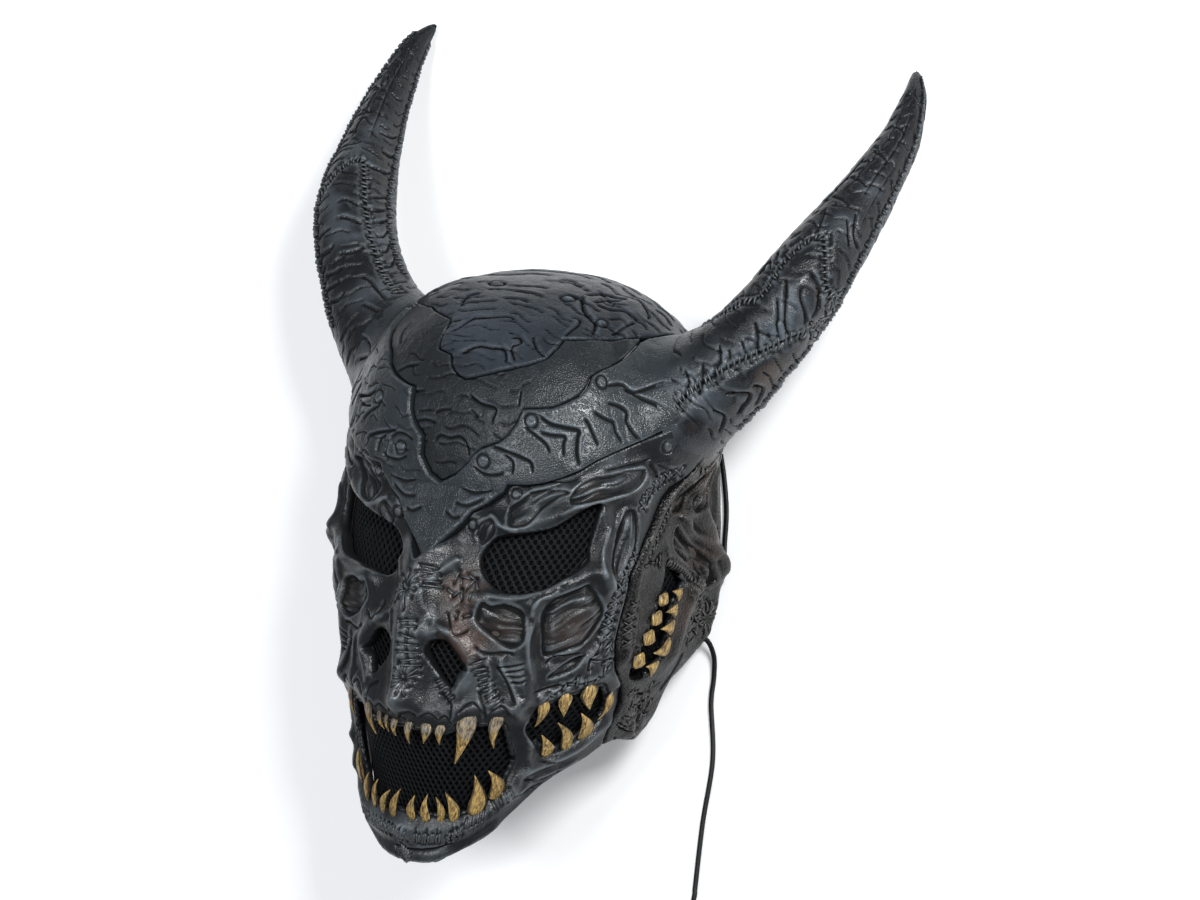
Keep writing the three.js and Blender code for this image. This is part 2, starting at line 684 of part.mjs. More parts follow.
const materials = {
  face: leather(0x24262a, 0.5),
  panel: leather(0x262423, 0.55),
  plate: leather(0x2b2f35, 0.45),
  crown: leather(0x222529, 0.45),
  horn: leather(0x25282d, 0.45),
  teeth: new THREE.MeshStandardMaterial({ color: 0xa98244, roughness: 0.45, metalness: 0.5 }),
  fabric: new THREE.MeshStandardMaterial({ color: 0x0a0b0d, roughness: 0.9, metalness: 0 }),
  lace: leather(0x14120f, 0.6),
};

const mask = new THREE.Group();

function add(name, shape, material) {
  const geometry = shape.isBufferGeometry ? shape : geometryOf(shape);
  geometry.computeVertexNormals();
  const mesh = new THREE.Mesh(geometry, material);
  mesh.name = name;
  mask.add(mesh);
}

add('face', shellPiece(aroundHead, FACE, [
  EYE, FAR_EYE, NOSTRIL, mirrored(NOSTRIL), MOUTH, CHEEK, mirrored(CHEEK),
], faceLift, CARVING_STEP), materials.face);
add('brow_plate', shellPiece(aroundHead, BROW_PLATE, [], browLift, CARVING_STEP), materials.plate);
add('keystone_plate', shellPiece(aroundHead, KEYSTONE, [], keystoneLift, CARVING_STEP),
  materials.crown);
const dome = shellPiece(overDome, stepped(DOME), [], crownLift, DOME_STEP);
add('crown_plate', onRim(dome), materials.crown);
for (const side of ['left', 'right']) {
  const of = side === 'left' ? (places) => places : mirrored;
  const ofTeeth = side === 'left' ? (teeth) => teeth : mirroredTeeth;
  const panel = shellPiece(aroundHead, of(SIDE_PANEL), [of(TEMPLE)], sideLift, CARVING_STEP);
  add(`side_panel_${side}`, onRim(panel), materials.panel);
  add(`horn_${side}`, horn(side === 'left' ? 1 : -1), materials.horn);
  add(`eye_mesh_${side}`, fabricBehind(side === 'left' ? EYE : FAR_EYE), materials.fabric);
  add(`temple_mesh_${side}`, fabricBehind(of(TEMPLE)), materials.fabric);
  for (const [name, opening, half, teeth] of [
    ['teeth_cheek_upper', CHEEK, CHEEK_ABOVE, CHEEK_UPPER_TEETH],
    ['teeth_cheek_lower', CHEEK, CHEEK_BELOW, CHEEK_LOWER_TEETH],
    ['teeth_temple_front', TEMPLE, TEMPLE_FORE, TEMPLE_FRONT_TEETH],
    ['teeth_temple_rear', TEMPLE, TEMPLE_AFT, TEMPLE_REAR_TEETH],
  ]) {
    add(`${name}_${side}`, toothRow(of(opening), of(half), ofTeeth(teeth)), materials.teeth);
  }
}
add('teeth_upper', toothRow(MOUTH, UPPER_HALF, UPPER_TEETH), materials.teeth);
add('teeth_lower', toothRow(MOUTH, LOWER_HALF, LOWER_TEETH), materials.teeth);
add('nose_mesh', fabric(NOSE_WINDOW), materials.fabric);
add('mouth_mesh', fabric(MOUTH_WINDOW), materials.fabric);
add('lace', laceAlong(LACE_PATH, 24), materials.lace);
add('lace_loop', laceAlong(LOOP_PATH, 9), materials.lace);
add('lace_coil', coil(), materials.lace);

export default mask;
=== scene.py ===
# A horned demon mask of carved leather, lying on its back: the looks.
#
# Lengths are millimetres until they reach a mesh, which is in Blender's metres. A place on the
# mask is written (turn, rise), as in the part's source. turn is degrees round the head from the
# middle of the face, positive to the mask's left. rise is millimetres up the head as far as the
# brow, and from there it runs on over the dome to the crown.
#
# Each piece of leather starts as a Sheet, a fine grid on a flat map of the head or of a horn. The
# carving tools and the stitches change how far its points are lifted out of the bare form, and
# then the grid is cut to its outline and wrapped round that form.

import copy
import math
import random

import bpy
import numpy as np
from mathutils import Matrix, Vector


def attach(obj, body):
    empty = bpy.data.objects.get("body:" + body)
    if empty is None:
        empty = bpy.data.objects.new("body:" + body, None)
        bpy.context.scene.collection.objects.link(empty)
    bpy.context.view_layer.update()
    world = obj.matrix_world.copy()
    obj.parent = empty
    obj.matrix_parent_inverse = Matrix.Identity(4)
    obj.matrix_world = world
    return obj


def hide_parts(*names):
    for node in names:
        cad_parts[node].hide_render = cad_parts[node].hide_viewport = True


random.seed(7)
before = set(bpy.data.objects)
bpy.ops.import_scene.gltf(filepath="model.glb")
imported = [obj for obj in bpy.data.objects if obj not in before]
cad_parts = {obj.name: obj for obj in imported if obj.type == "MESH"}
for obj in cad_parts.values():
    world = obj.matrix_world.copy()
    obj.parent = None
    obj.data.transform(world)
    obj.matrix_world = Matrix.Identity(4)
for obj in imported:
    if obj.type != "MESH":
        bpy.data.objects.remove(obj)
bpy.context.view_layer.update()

MM = 0.001

# The head: its brow, crown and back, and how it lies
BROW = 55
CROWN = 151
BACK = -128
DOME_ARC = 150
DOME_ROUNDING = 0.72
POLE = BROW + DOME_ARC
LIE_TILT = math.radians(17.5)
RIM_DEPTH = 77.25
LENGTHWISE_SHIFT = -65.05

# The leather: its thickness, the gap at a seam, the rounding of a cut edge and the first step
# down it, the width of the edge's turned-in back, how far the lining stands off that, and how
# far inside the edge it ends
WALL = 5
SEAM_GAP = 0.7
EDGE_ROUND = 1.5
EDGE_STEP = 1.2
FLANGE = 2.5
LINING_GAP = 0.4
LINING_INSET = 0.5

# Relief runs from 0 in a cut to 1 on a ridge, and it steers the material, which paints shade into the
# cuts over the leather's dark finish and paints a highlight onto the ridges over their wear. It is read
# from how far a point stands out of what is within reach of it, times a scale.
RELIEF_REACH = 1.6
RELIEF_SCALE = 0.55
EDGE_RELIEF = 0.3
LINING_RELIEF = 0.5

# Grid steps of the carved leather and of its lining
FINE = 0.7
PLATE_FINE = 0.63
DOME_FINE = 0.95
COARSE = 6

# Each section up the head: height, front depth, half width, centre depth, squareness
SECTIONS = np.array([
    (-152, 80, 20, 40, 2),
    (-147, 89, 38, 24, 2.1),
    (-134, 94, 56, 4, 2.25),
    (-108, 93, 72, -18, 2.15),
    (-75, 93, 84, -26, 2.1),
    (-45, 90, 95, -30, 2.1),
    (-10, 84, 101, -32, 2.2),
    (20, 70, 102, -33, 2.4),
    (55, 57, 100, -34, 2.4),
], float)
HEIGHTS = SECTIONS[:, 0]
COLUMNS = SECTIONS[:, 1:]
SLOPES = np.gradient(COLUMNS, HEIGHTS, axis=0)


def section(height):
    """Front depth, half width, centre depth and squareness of the head at any heights."""
    i = np.clip(np.searchsorted(HEIGHTS, height, side="right") - 1, 0, len(HEIGHTS) - 2)
    span = (HEIGHTS[i + 1] - HEIGHTS[i])[..., None]
    t = np.clip((height - HEIGHTS[i])[..., None] / span, 0, 1)
    values = (
        (2 * t**3 - 3 * t**2 + 1) * COLUMNS[i]
        + (t**3 - 2 * t**2 + t) * span * SLOPES[i]
        + (3 * t**2 - 2 * t**3) * COLUMNS[i + 1]
        + (t**3 - t**2) * span * SLOPES[i + 1]
    )
    return np.moveaxis(values, -1, 0)


def bare(turn, rise):
    """The bare form of the head at some places, in the head's frame."""
    turn, rise = np.broadcast_arrays(np.asarray(turn, float), np.asarray(rise, float))
    height = np.minimum(rise, BROW)
    front, half, centre, square = section(height)
    over = np.clip((rise - BROW) / DOME_ARC, 0, 1) * math.pi / 2
    shrink = np.cos(over) ** DOME_ROUNDING
    across, forward = np.sin(np.radians(turn)), np.cos(np.radians(turn))
    depth = np.where(forward >= 0, front - centre, centre - BACK)
    power = 2 / np.where(forward >= 0, 2 + (square - 2) * np.cos(over), 2)
    return np.stack([
        half * shrink * np.sign(across) * np.abs(across) ** power,
        height + (CROWN - BROW) * np.sin(over),
        centre + depth * shrink * np.sign(forward) * np.abs(forward) ** power,
    ], -1)


def normals(turn, rise):
    """The bare form's outward normals at some places."""
    near = np.minimum(rise, POLE - 2)
    round_it = bare(turn + 1, near) - bare(turn - 1, near)
    up = bare(turn, near + 1) - bare(turn, near - 1)
    out = np.cross(round_it, up)
    return out / np.linalg.norm(out, axis=-1, keepdims=True)


def laid(points):
    """Points of the head's frame in the frame of the mask lying on its rear rim, in metres."""
    x, y, z = np.moveaxis(np.asarray(points, float), -1, 0)
    cos, sin = math.cos(LIE_TILT), math.sin(LIE_TILT)
    along = y * cos - z * sin + LENGTHWISE_SHIFT
    return np.stack([x, along, y * sin + z * cos + RIM_DEPTH], -1) * MM


def lifted(turn, rise, lift):
    """Places that stand lift millimetres out of the bare form, laid, in metres."""
    turn, rise = np.asarray(turn, float), np.asarray(rise, float)
    out = normals(turn, rise) * np.asarray(lift)[..., None]
    return laid(bare(turn, rise) + out)


# Flat maps, in about true millimetres
TURNS = np.arange(181)
ROUND_POINTS = bare(TURNS, 0)
GIRTHS = np.concatenate([[0], np.cumsum(np.linalg.norm(np.diff(ROUND_POINTS, axis=0), axis=1))])


class AroundHead:
    """A flat map that unrolls the head like a cylinder."""

    @staticmethod
    def flat(places):
        places = np.asarray(places, float)
        girth = np.sign(places[..., 0]) * np.interp(np.abs(places[..., 0]), TURNS, GIRTHS)
        return np.stack([girth, places[..., 1]], -1)

    @staticmethod
    def places(x, y):
        return np.sign(x) * np.interp(np.abs(x), GIRTHS, TURNS), y

    @staticmethod
    def points(x, y, lift):
        return lifted(*AroundHead.places(x, y), lift)


class OverDome:
    """A flat map that looks down on the dome."""

    @staticmethod
    def flat(places):
        places = np.asarray(places, float)
        angle, reach = np.radians(places[..., 0]), POLE - places[..., 1]
        return np.stack([np.sin(angle) * reach, -np.cos(angle) * reach], -1)

    @staticmethod
    def places(x, y):
        return np.degrees(np.arctan2(x, -y)), POLE - np.hypot(x, y)

    @staticmethod
    def points(x, y, lift):
        return lifted(*OverDome.places(x, y), lift)


# The horns. Along the line: x, y and z of the middle, then half the width. The root is the first
# steps of the line, which are all that the head's leather can come near.
HORN_LINE = np.array([
    (82, 82, -30, 33), (103, 103, -38, 30), (118, 116, -43, 27), (130, 130, -49, 24.5),
    (142, 148, -57, 23), (153, 170, -72, 21.5), (162.5, 198, -99, 16.5), (168.5, 228, -129, 11.2),
    (167, 249.5, -147.5, 6.8), (162, 261, -158.5, 2.3), (161.2, 262.2, -159.6, 0.3),
], float)
HORN_FACING = np.array((0.35, 0.12, 0.93))
HORN_THICKNESS = 1.05
HORN_ROLL = 22
HORN_ROOT_STEPS = 60


def horn_frame():
    """The middle, half width, two cross directions and length so far at steps along a horn."""
    line = curve_through(HORN_LINE, spacing=3)
    reach = np.concatenate([[0], np.cumsum(np.linalg.norm(np.diff(line[:, :3], axis=0), axis=1))])
    along = np.gradient(line[:, :3], reach, axis=0)
    across = np.cross(HORN_FACING, along)
    across /= np.linalg.norm(across, axis=1, keepdims=True)
    out = np.cross(along, across)
    out /= np.linalg.norm(out, axis=1, keepdims=True)
    return line, across, out, reach


class AroundHorn:
    """A flat map of a horn's skin. Its places are (angle, share): degrees round the horn from
    its front, positive to the outside, and the share of its length from the root."""

    def __init__(self, side):
        self.side = side
        self.line, self.across, self.out, self.reach = horn_frame()

    def flat(self, places):
        places = np.asarray(places, float)
        angle = np.radians(places[..., 0]) * self.side * HORN_ROLL
        return np.stack([angle, places[..., 1] * self.reach[-1]], -1)

    def places(self, x, y):
        return np.degrees(x / (self.side * HORN_ROLL)), y / self.reach[-1]

    def in_head_frame(self, x, y, lift):
        angle = self.side * x / HORN_ROLL + math.pi / 2
        middle = columns_at(y, self.reach, self.line)
        half = middle[..., 3]
        share = np.asarray(lift) * smooth_step(half, 0, 4)
        across = (half + share) * np.cos(angle)
        out = (half * HORN_THICKNESS + share) * np.sin(angle)
        point = (
            middle[..., :3]
            + columns_at(y, self.reach, self.across) * across[..., None]
            + columns_at(y, self.reach, self.out) * out[..., None]
        )
        point[..., 0] *= self.side
        return point

    def points(self, x, y, lift):
        return laid(self.in_head_frame(x, y, lift))


def columns_at(where, reach, values):
    """Rows of values, interpolated at some places along their reach."""
    return np.stack([np.interp(where, reach, column) for column in values.T], -1)


def outside_horn(points, side):
    """How far some points of the head's frame are outside a horn, for points near its root."""
    line, across, out, reach = horn_frame()
    points = points * (side, 1, 1)
    nearest = np.full(points.shape[:-1], np.inf)
    index = np.zeros(points.shape[:-1], int)
    for k in range(0, HORN_ROOT_STEPS, 2):
        gap = ((points - line[k, :3]) ** 2).sum(-1)
        index = np.where(gap < nearest, k, index)
        nearest = np.minimum(nearest, gap)
    along = np.cross(across, out)
    where = reach[index] + ((points - line[index, :3]) * along[index]).sum(-1)
    here = columns_at(where, reach, line)
    gap = points - here[..., :3]
    aside = (gap * columns_at(where, reach, across)).sum(-1)
    forward = (gap * columns_at(where, reach, out)).sum(-1)
    return np.hypot(aside, forward / HORN_THICKNESS) - here[..., 3]


def joined(a, b, blend):
    """The distance outside two forms joined with a rounded hollow between them."""
    return np.minimum(a, b) - np.maximum(blend - np.abs(a - b), 0) ** 2 / (4 * blend)


def surface_of(outside, most):
    """The reach from 0 to most at which outside(reach) comes above zero."""
    low, high = np.zeros_like(most), most.copy()
    for _ in range(11):
        middle = (low + high) / 2
        within = outside(middle) < 0
        low, high = np.where(within, middle, low), np.where(within, high, middle)
    return (low + high) / 2


def outside_head(points):
    """About how far some points of the head's frame are outside the bare head."""
    level = level_outside_head(points)
    slope = np.clip(level_outside_head(points + (0, 1, 0)) - level, 0, 1)
    return level / np.sqrt(1 + slope**2)


def level_outside_head(points):
    """How far the same points are outside the head's section at their own height."""
    x, y, z = np.moveaxis(points, -1, 0)
    front, half, centre, square = section(np.minimum(y, BROW))
    over = np.arcsin(np.clip((y - BROW) / (CROWN - BROW), 0, 1))
    shrink = np.cos(over) ** DOME_ROUNDING
    forward = z > centre
    depth = np.where(forward, front - centre, centre - BACK)
    power = np.where(forward, 2 + (square - 2) * np.cos(over), 2)
    ratio = (np.abs(x / half) ** power + np.abs((z - centre) / depth) ** power) ** (1 / power)
    return np.hypot(x, z - centre) * (1 - shrink / np.maximum(ratio, 1e-6))


# Lines, and values over a grid
def curve_through(points, closed=False, spacing=1.5):
    """A smooth line through some flat points, as closely spaced points."""
    count = len(points)
    spans = count if closed else count - 1
    line = []
    for i in range(spans):
        a, b, c, d = (
            points[(i + k) % count] if closed else points[min(max(i + k, 0), count - 1)]
            for k in (-1, 0, 1, 2)
        )
        steps = max(2, math.ceil(np.linalg.norm(c - b) / spacing))
        for t in np.arange(steps) / steps:
            line.append(0.5 * (
                2 * b + (c - a) * t + (2 * a - 5 * b + 4 * c - d) * t**2
                + (3 * b - a - 3 * c + d) * t**3
            ))
    if not closed:
        line.append(points[-1])
    return np.array(line)


def stepped(places, turn_step=5):
    """The same closed outline with a place at least every few degrees round the head."""
    ring = []
    for start, end in zip(places, [*places[1:], places[0]]):
        way = (end[0] - start[0] + 180) % 360 - 180
        count = max(1, math.ceil(abs(way) / turn_step))
        ring += [
            (start[0] + way * k / count, start[1] + (end[1] - start[1]) * k / count)
            for k in range(count)
        ]
    return ring


def mirrored(places):
    return [(-turn, rise) for turn, rise in reversed(places)]


def on_side(places, side):
    """Places of the mask's left, moved to its right for a side of -1."""
    return places if side > 0 else mirrored(places)


def both_sides(places):
    return [*places, *mirrored(places)]


def smooth_step(values, low, high):
    t = np.clip((values - low) / (high - low), 0, 1)
    return t * t * (3 - 2 * t)


def noise(x, y, size, seed):
    """Smooth random values from -1 to 1, about size millimetres from bump to bump."""
    u, v = x / size, y / size
    i, j = np.floor(u).astype(np.int64), np.floor(v).astype(np.int64)
    s, t = smooth_step(u - i, 0, 1), smooth_step(v - j, 0, 1)

    def corner(a, b):
        h = (a * 374761393 + b * 668265263 + seed * 974634777) & 0xFFFFFFFF
        h = ((h ^ (h >> 13)) * 1274126177) & 0xFFFFFFFF
        return ((h ^ (h >> 16)) & 0xFFFF) / 32767.5 - 1

    low = corner(i, j) * (1 - s) + corner(i + 1, j) * s
    high = corner(i, j + 1) * (1 - s) + corner(i + 1, j + 1) * s
    return low * (1 - t) + high * t


def signed_depth(x, y, ring):
    """How far inside a closed ring each point is, below zero outside it."""
    nearest = np.full(x.shape, np.inf)
    inside = np.zeros(x.shape, bool)
    for a, b in zip(ring, np.roll(ring, -1, axis=0)):
        along = b - a
        share = ((x - a[0]) * along[0] + (y - a[1]) * along[1]) / max(along @ along, 1e-9)
        share = np.clip(share, 0, 1)
        gap = (x - a[0] - share * along[0]) ** 2 + (y - a[1] - share * along[1]) ** 2
        nearest = np.minimum(nearest, gap)
        if a[1] != b[1]:
            crossing = ((a[1] > y) != (b[1] > y)) & (
                x < along[0] * (y - a[1]) / along[1] + a[0]
            )
            inside ^= crossing
    return np.where(inside, 1, -1) * np.sqrt(nearest)


def blurred(values, reach):
    """Values smoothed by a box of 2 * reach + 1 grid points, twice over."""
    for _ in range(2):
        for axis in (0, 1):
            pad = [(reach + 1, reach) if a == axis else (0, 0) for a in (0, 1)]
            total = np.cumsum(np.pad(values, pad, mode="edge"), axis=axis)
            width = 2 * reach + 1
            values = (
                np.take(total, range(width, total.shape[axis]), axis)
                - np.take(total, range(total.shape[axis] - width), axis)
            ) / width
    return values


class Sheet:
    """Leather on a flat map's fine grid, carved by changing its lift. Its depth is how far each
    point is inside its outline."""

    def __init__(self, chart, low, high, step):
        self.chart, self.step, self.low = chart, step, np.asarray(low, float)
        self.x, self.y = np.meshgrid(
            np.arange(low[0], high[0], step),
            np.arange(low[1], high[1], step),
            indexing="ij",
        )
        self.depth = np.full(self.x.shape, 1e3)
        self.base = np.zeros(self.x.shape)
        self.lift = np.zeros(self.x.shape)
        self.tint = np.zeros(self.x.shape)
        self.relief = np.full(self.x.shape, 0.5)

    def height(self):
        return self.chart.points(self.x, self.y, np.zeros(self.x.shape))[..., 2] / MM

    def window(self, points, reach):
        """The part of the grid within reach of some flat points."""
        first = np.floor((points.min(0) - reach - self.low) / self.step).astype(int)
        last = np.ceil((points.max(0) + reach - self.low) / self.step).astype(int) + 1
        first, last = np.maximum(first, 0), np.maximum(last, 0)
        return slice(first[0], last[0]), slice(first[1], last[1])

    def trace(self, places, reach):
        """The grid near a smooth line through places: its window, the distance from the line,
        the side of it (1 to the left) and the share of the way along it."""
        line = curve_through(self.chart.flat(places))
        part = self.window(line, reach)
        return part, *self.beside(line, self.x[part], self.y[part])

    @staticmethod
    def beside(line, x, y):
        nearest = np.full(x.shape, np.inf)
        side = np.zeros(x.shape)
        share = np.zeros(x.shape)
        lengths = np.linalg.norm(np.diff(line, axis=0), axis=1)
        total = lengths.sum()
        gone = 0
        for a, b, length in zip(line, line[1:], lengths):
            along = (b - a) / length
            reach_along = np.clip((x - a[0]) * along[0] + (y - a[1]) * along[1], 0, length)
            dx, dy = x - a[0] - reach_along * along[0], y - a[1] - reach_along * along[1]
            gap = dx * dx + dy * dy
            closer = gap < nearest
            nearest = np.where(closer, gap, nearest)
            side = np.where(closer, np.sign(along[0] * dy - along[1] * dx), side)
            share = np.where(closer, (gone + reach_along) / total, share)
            gone += length
        return np.sqrt(nearest), side, share

    def area(self, places, reach):
        """The grid near a smooth closed outline: its window and the depth inside it."""
        ring = curve_through(self.chart.flat(places), closed=True)
        part = self.window(ring, reach)
        return part, signed_depth(self.x[part], self.y[part], ring)

    def lift_at(self, points, lift):
        """Lifts of the grid, read at some flat points."""
        flat = (points - self.low) / self.step
        i = np.clip(flat[..., 0].astype(int), 0, self.x.shape[0] - 2)
        j = np.clip(flat[..., 1].astype(int), 0, self.x.shape[1] - 2)
        s = np.clip(flat[..., 0] - i, 0, 1)
        t = np.clip(flat[..., 1] - j, 0, 1)
        low = lift[i, j] * (1 - s) + lift[i + 1, j] * s
        high = lift[i, j + 1] * (1 - s) + lift[i + 1, j + 1] * s
        return low * (1 - t) + high * t


def cut_sheet(chart, outline, openings=(), step=FINE, gap=SEAM_GAP / 2, on_rim=False):
    """A sheet inside an outline of places less its openings, cut off at the rear rim if asked."""
    ring = chart.flat(outline)
    low = ring.min(0) - 2 * step + min(gap, 0)
    high = ring.max(0) + 3 * step - min(gap, 0)
    sheet = Sheet(chart, low, high, step)
    sheet.depth = signed_depth(sheet.x, sheet.y, ring) - gap
    for opening in openings:
        outside = -signed_depth(sheet.x, sheet.y, chart.flat(opening))
        sheet.depth = np.minimum(sheet.depth, outside)
    if on_rim:
        sheet.depth = np.minimum(sheet.depth, sheet.height())
    return sheet


def tapered(share, ends=0.15):
    return smooth_step(share, 0, ends) * smooth_step(1 - share, 0, ends)


# Carving tools
def ridge(sheet, width, height, *line):
    """A rounded ridge, or with a height below zero a hollow, with open ends."""
    part, gap, _, _ = sheet.trace(line, 3 * width)
    sheet.lift[part] += height * np.exp(-((gap / width) ** 2))


def cord_line(sheet, width, height, *line):
    """A ridge that runs out to nothing at its ends."""
    part, gap, _, share = sheet.trace(line, 3 * width)
    sheet.lift[part] += height * np.exp(-((gap / width) ** 2)) * tapered(share)


def cut(sheet, depth, bevel, *line):
    """A tooled cut: a sharp groove, wider in the middle, whose right side falls away to it."""
    part, gap, side, share = sheet.trace(line, 7)
    taper = tapered(share, 0.12)
    width = 0.35 + depth * (0.1 + 0.12 * np.sin(math.pi * share))
    groove = depth * np.exp(-((gap / width) ** 2))
    slope = bevel * np.exp(-gap / 2.4) * (side < 0)
    lip = 0.25 * bevel * np.exp(-(((gap - 1.5) / 0.9) ** 2)) * (side > 0)
    sheet.lift[part] += (lip - groove - slope) * taper


def muscle(sheet, depth, swell, seed, guide, ring):
    """A hollow in the leather, filled with a rounded bundle of strands that follow a guide."""
    part, inside = sheet.area(ring, 6)
    line = curve_through(sheet.chart.flat(guide))
    gap, side, share = sheet.beside(line, sheet.x[part], sheet.y[part])
    across, along = gap * side, share * len(line) * 1.5
    across = across + 1.2 * noise(along, across, 12, seed)
    strands = 1.7 * np.abs(noise(across, along * 0.08, 3.4, seed + 1)) - 0.6
    strands += 0.8 * np.abs(noise(across, along * 0.12, 2, seed + 2)) - 0.3
    lip = 0.2 * np.exp(-(((inside + 1.4) / 0.9) ** 2))
    floor = swell * smooth_step(inside, 0.4, 6) - depth * smooth_step(inside, -0.4, 0.4)
    sheet.lift[part] += lip + floor + 1.15 * strands * smooth_step(inside, 0.3, 1.4)


def stain_and_sheen(sheet, strength, radius, place):
    """A warm patch where the leather's brown ground shows through its black finish, or with a
    strength below zero a pale patch of painted sheen."""
    middle = sheet.chart.flat([place])
    part = sheet.window(middle, 2 * radius)
    gap = np.hypot(sheet.x[part] - middle[0, 0], sheet.y[part] - middle[0, 1])
    gap = gap * (1 + 0.35 * noise(sheet.x[part], sheet.y[part], radius / 2, 5))
    sheet.tint[part] += strength * np.exp(-((gap / radius) ** 2))


def disc(sheet, radius, *centre):
    """A small round stud pressed into the leather."""
    middle = sheet.chart.flat(centre)
    part = sheet.window(middle, radius + 4)
    gap = np.hypot(sheet.x[part] - middle[0, 0], sheet.y[part] - middle[0, 1])
    groove = np.exp(-(((gap - radius) / 0.65) ** 2))
    sheet.lift[part] += 0.4 * smooth_step(radius - gap, 0, 1.4) - groove


def wavy_rows(sheet, low, high, row_gap, length, amount):
    """Rows of short wavy cuts over a flat area, as if tooled by hand."""
    y = low[1]
    while y < high[1]:
        x = low[0] + random.uniform(0, length)
        while x < high[0]:
            reach = length * random.uniform(0.6, 1.4)
            count = max(4, round(reach / 5))
            flat = [
                (x + reach * k / (count - 1), y + random.uniform(-1.6, 1.6) + 2 * math.sin(x / 9 + k))
                for k in range(count)
            ]
            places = np.stack(sheet.chart.places(*np.array(flat).T), -1)
            cut(sheet, amount * random.uniform(0.6, 1.1), amount * 0.5, *places)
            x += reach + random.uniform(2, 7)
        y += row_gap * random.uniform(0.8, 1.2)


# Outlines of the pieces and openings, as in the part's source
CROWN_SEAM = [
    (-97, 132), (-84, 138), (-60, 150), (-40, 155), (-15, 151.5), (-13, 146), (-12, 138),
    (-10, 130), (-4, 128), (-2, 121), (0.3, 116), (3, 114), (7, 116.5), (16.5, 122),
    (27, 126.5), (34, 130.5), (39, 137.5), (43, 143.5), (60, 142), (81, 137), (97, 132),
]
BROW_SEAM = [
    (-84, 135), (-62, 142), (-52, 129), (-36, 119.5), (-31, 113), (-24, 108.5), (-16, 105.5),
    (-12.5, 105), (-12, 98.5), (-10.7, 91), (-8.8, 86), (-5.2, 79.5), (-5, 69), (-2.3, 60.5),
    (0, 57), (3.5, 62), (7, 69), (8.5, 73.5), (11, 77.5), (16.5, 81.5), (19.5, 86), (22, 92),
    (24.5, 100.3), (35, 101.5), (39.5, 104), (45.5, 108), (49.5, 113.5), (51.5, 118.5),
    (56, 121.5), (62.5, 124), (69, 127.5), (79, 134.5),
]
BROW_GROOVE = [
    (0, 15.5), (3, 26), (7.5, 36.5), (10, 43.5), (14, 48), (18, 54), (20, 60), (26.5, 60.5),
    (32, 62), (38, 65), (44, 68.5), (49.5, 73), (56, 76.5), (64, 80), (70, 82.5), (77, 86),
    (85, 92), (97, 98),
]
TEMPLE_SEAM = [
    (85, 92), (87, 78), (85, 62), (76, 47.5), (69, 28.8), (66.6, 20), (64.5, 11), (64.3, -2),
    (64, -12), (63.8, -27.5), (65.3, -42), (68.8, -52), (70.6, -62), (71, -75), (71, -88.5),
]
JAW_EDGE = [
    (71, -88.5), (66.5, -93), (59, -98), (52.5, -104.5), (46.5, -116), (38, -131), (20, -146),
    (0, -150),
]
SIDE_EDGE = [
    (71, -88.5), (75, -88), (80, -90), (84, -92), (88, -87), (89.5, -80), (90, -68), (91, -60),
    (98, -54), (106, -47), (116, -41),
]
PANEL_TOP = [(97, 98), (120, 98), (152, 98)]
EYE = [
    (14, 21), (15.5, 28), (18.5, 32.5), (27, 35.5), (35, 38), (39, 41), (48.5, 49.5),
    (52, 49.5), (51, 43), (49.5, 28), (49.3, 20.5), (43.5, 13.5), (35.5, 6.5), (26, 5.3),
    (20, 8.5), (15.5, 14.8),
]
FAR_EYE = [
    (-52, 49.5), (-48.5, 49.5), (-39, 41), (-27, 36), (-15.5, 31.5), (-10, 28), (-6.5, 20.5),
    (-6, 15), (-7.5, 8.8), (-10.5, 5.8), (-15, 5.8), (-22, 6.5), (-35.5, 7.5), (-43.5, 13.5),
    (-49.3, 20.5), (-51, 43),
]
NOSTRIL = [
    (5.3, -27.5), (7, -22), (11.8, -22), (17.2, -31.5), (19.3, -35.5), (16.5, -38),
    (14.8, -46.5), (10.3, -40), (6.8, -32.5),
]
MOUTH = both_sides([
    (5, -69.5), (16, -70), (19, -65), (29, -65), (34, -65), (38.7, -79.5), (40.3, -88),
    (38, -99.5), (33, -110), (26.5, -116), (14, -118),
])
CHEEK = [
    (41.3, -70), (42.3, -62.5), (44.5, -56), (51.8, -52), (61.5, -48.8), (64.5, -53.5),
    (67, -63), (66, -71.5), (60, -79.8), (53, -84.5), (47.5, -81),
]
TEMPLE = [
    (80.5, 9.5), (87.5, -1), (84, -12), (83.2, -28), (81.7, -43.5), (77, -52), (71.3, -48),
    (73, -30), (76.5, -11), (78.7, 0),
]
FACE = both_sides([*BROW_GROOVE[:-1], *TEMPLE_SEAM[1:], *JAW_EDGE[1:-1]])
SIDE_PANEL = [
    (85, 92), *PANEL_TOP, (140, 50), (128, 0), *reversed(SIDE_EDGE),
    *list(reversed(TEMPLE_SEAM))[1:-1],
]
BROW_PLATE = [
    *mirrored(BROW_GROOVE)[:-1], *BROW_GROOVE, (97, 132), (84, 135.6), *reversed(BROW_SEAM),
    (-84, 137), (-97, 132),
]
KEYSTONE = [*BROW_SEAM, (81, 137), *list(reversed(CROWN_SEAM))[2:-2]]
DOME = stepped([*CROWN_SEAM, *PANEL_TOP, (180, 98), *mirrored(PANEL_TOP)])


def rounded(places):
    """A smooth closed outline through a few places."""
    ring = curve_through(np.array(places, float), closed=True, spacing=1.2)
    return [tuple(place) for place in ring]


# Materials
def linear(colour):
    """A colour written 0 to 255, in Blender's linear values."""
    values = [c / 255 for c in colour]
    return [c / 12.92 if c <= 0.04045 else ((c + 0.055) / 1.055) ** 2.4 for c in values] + [1]


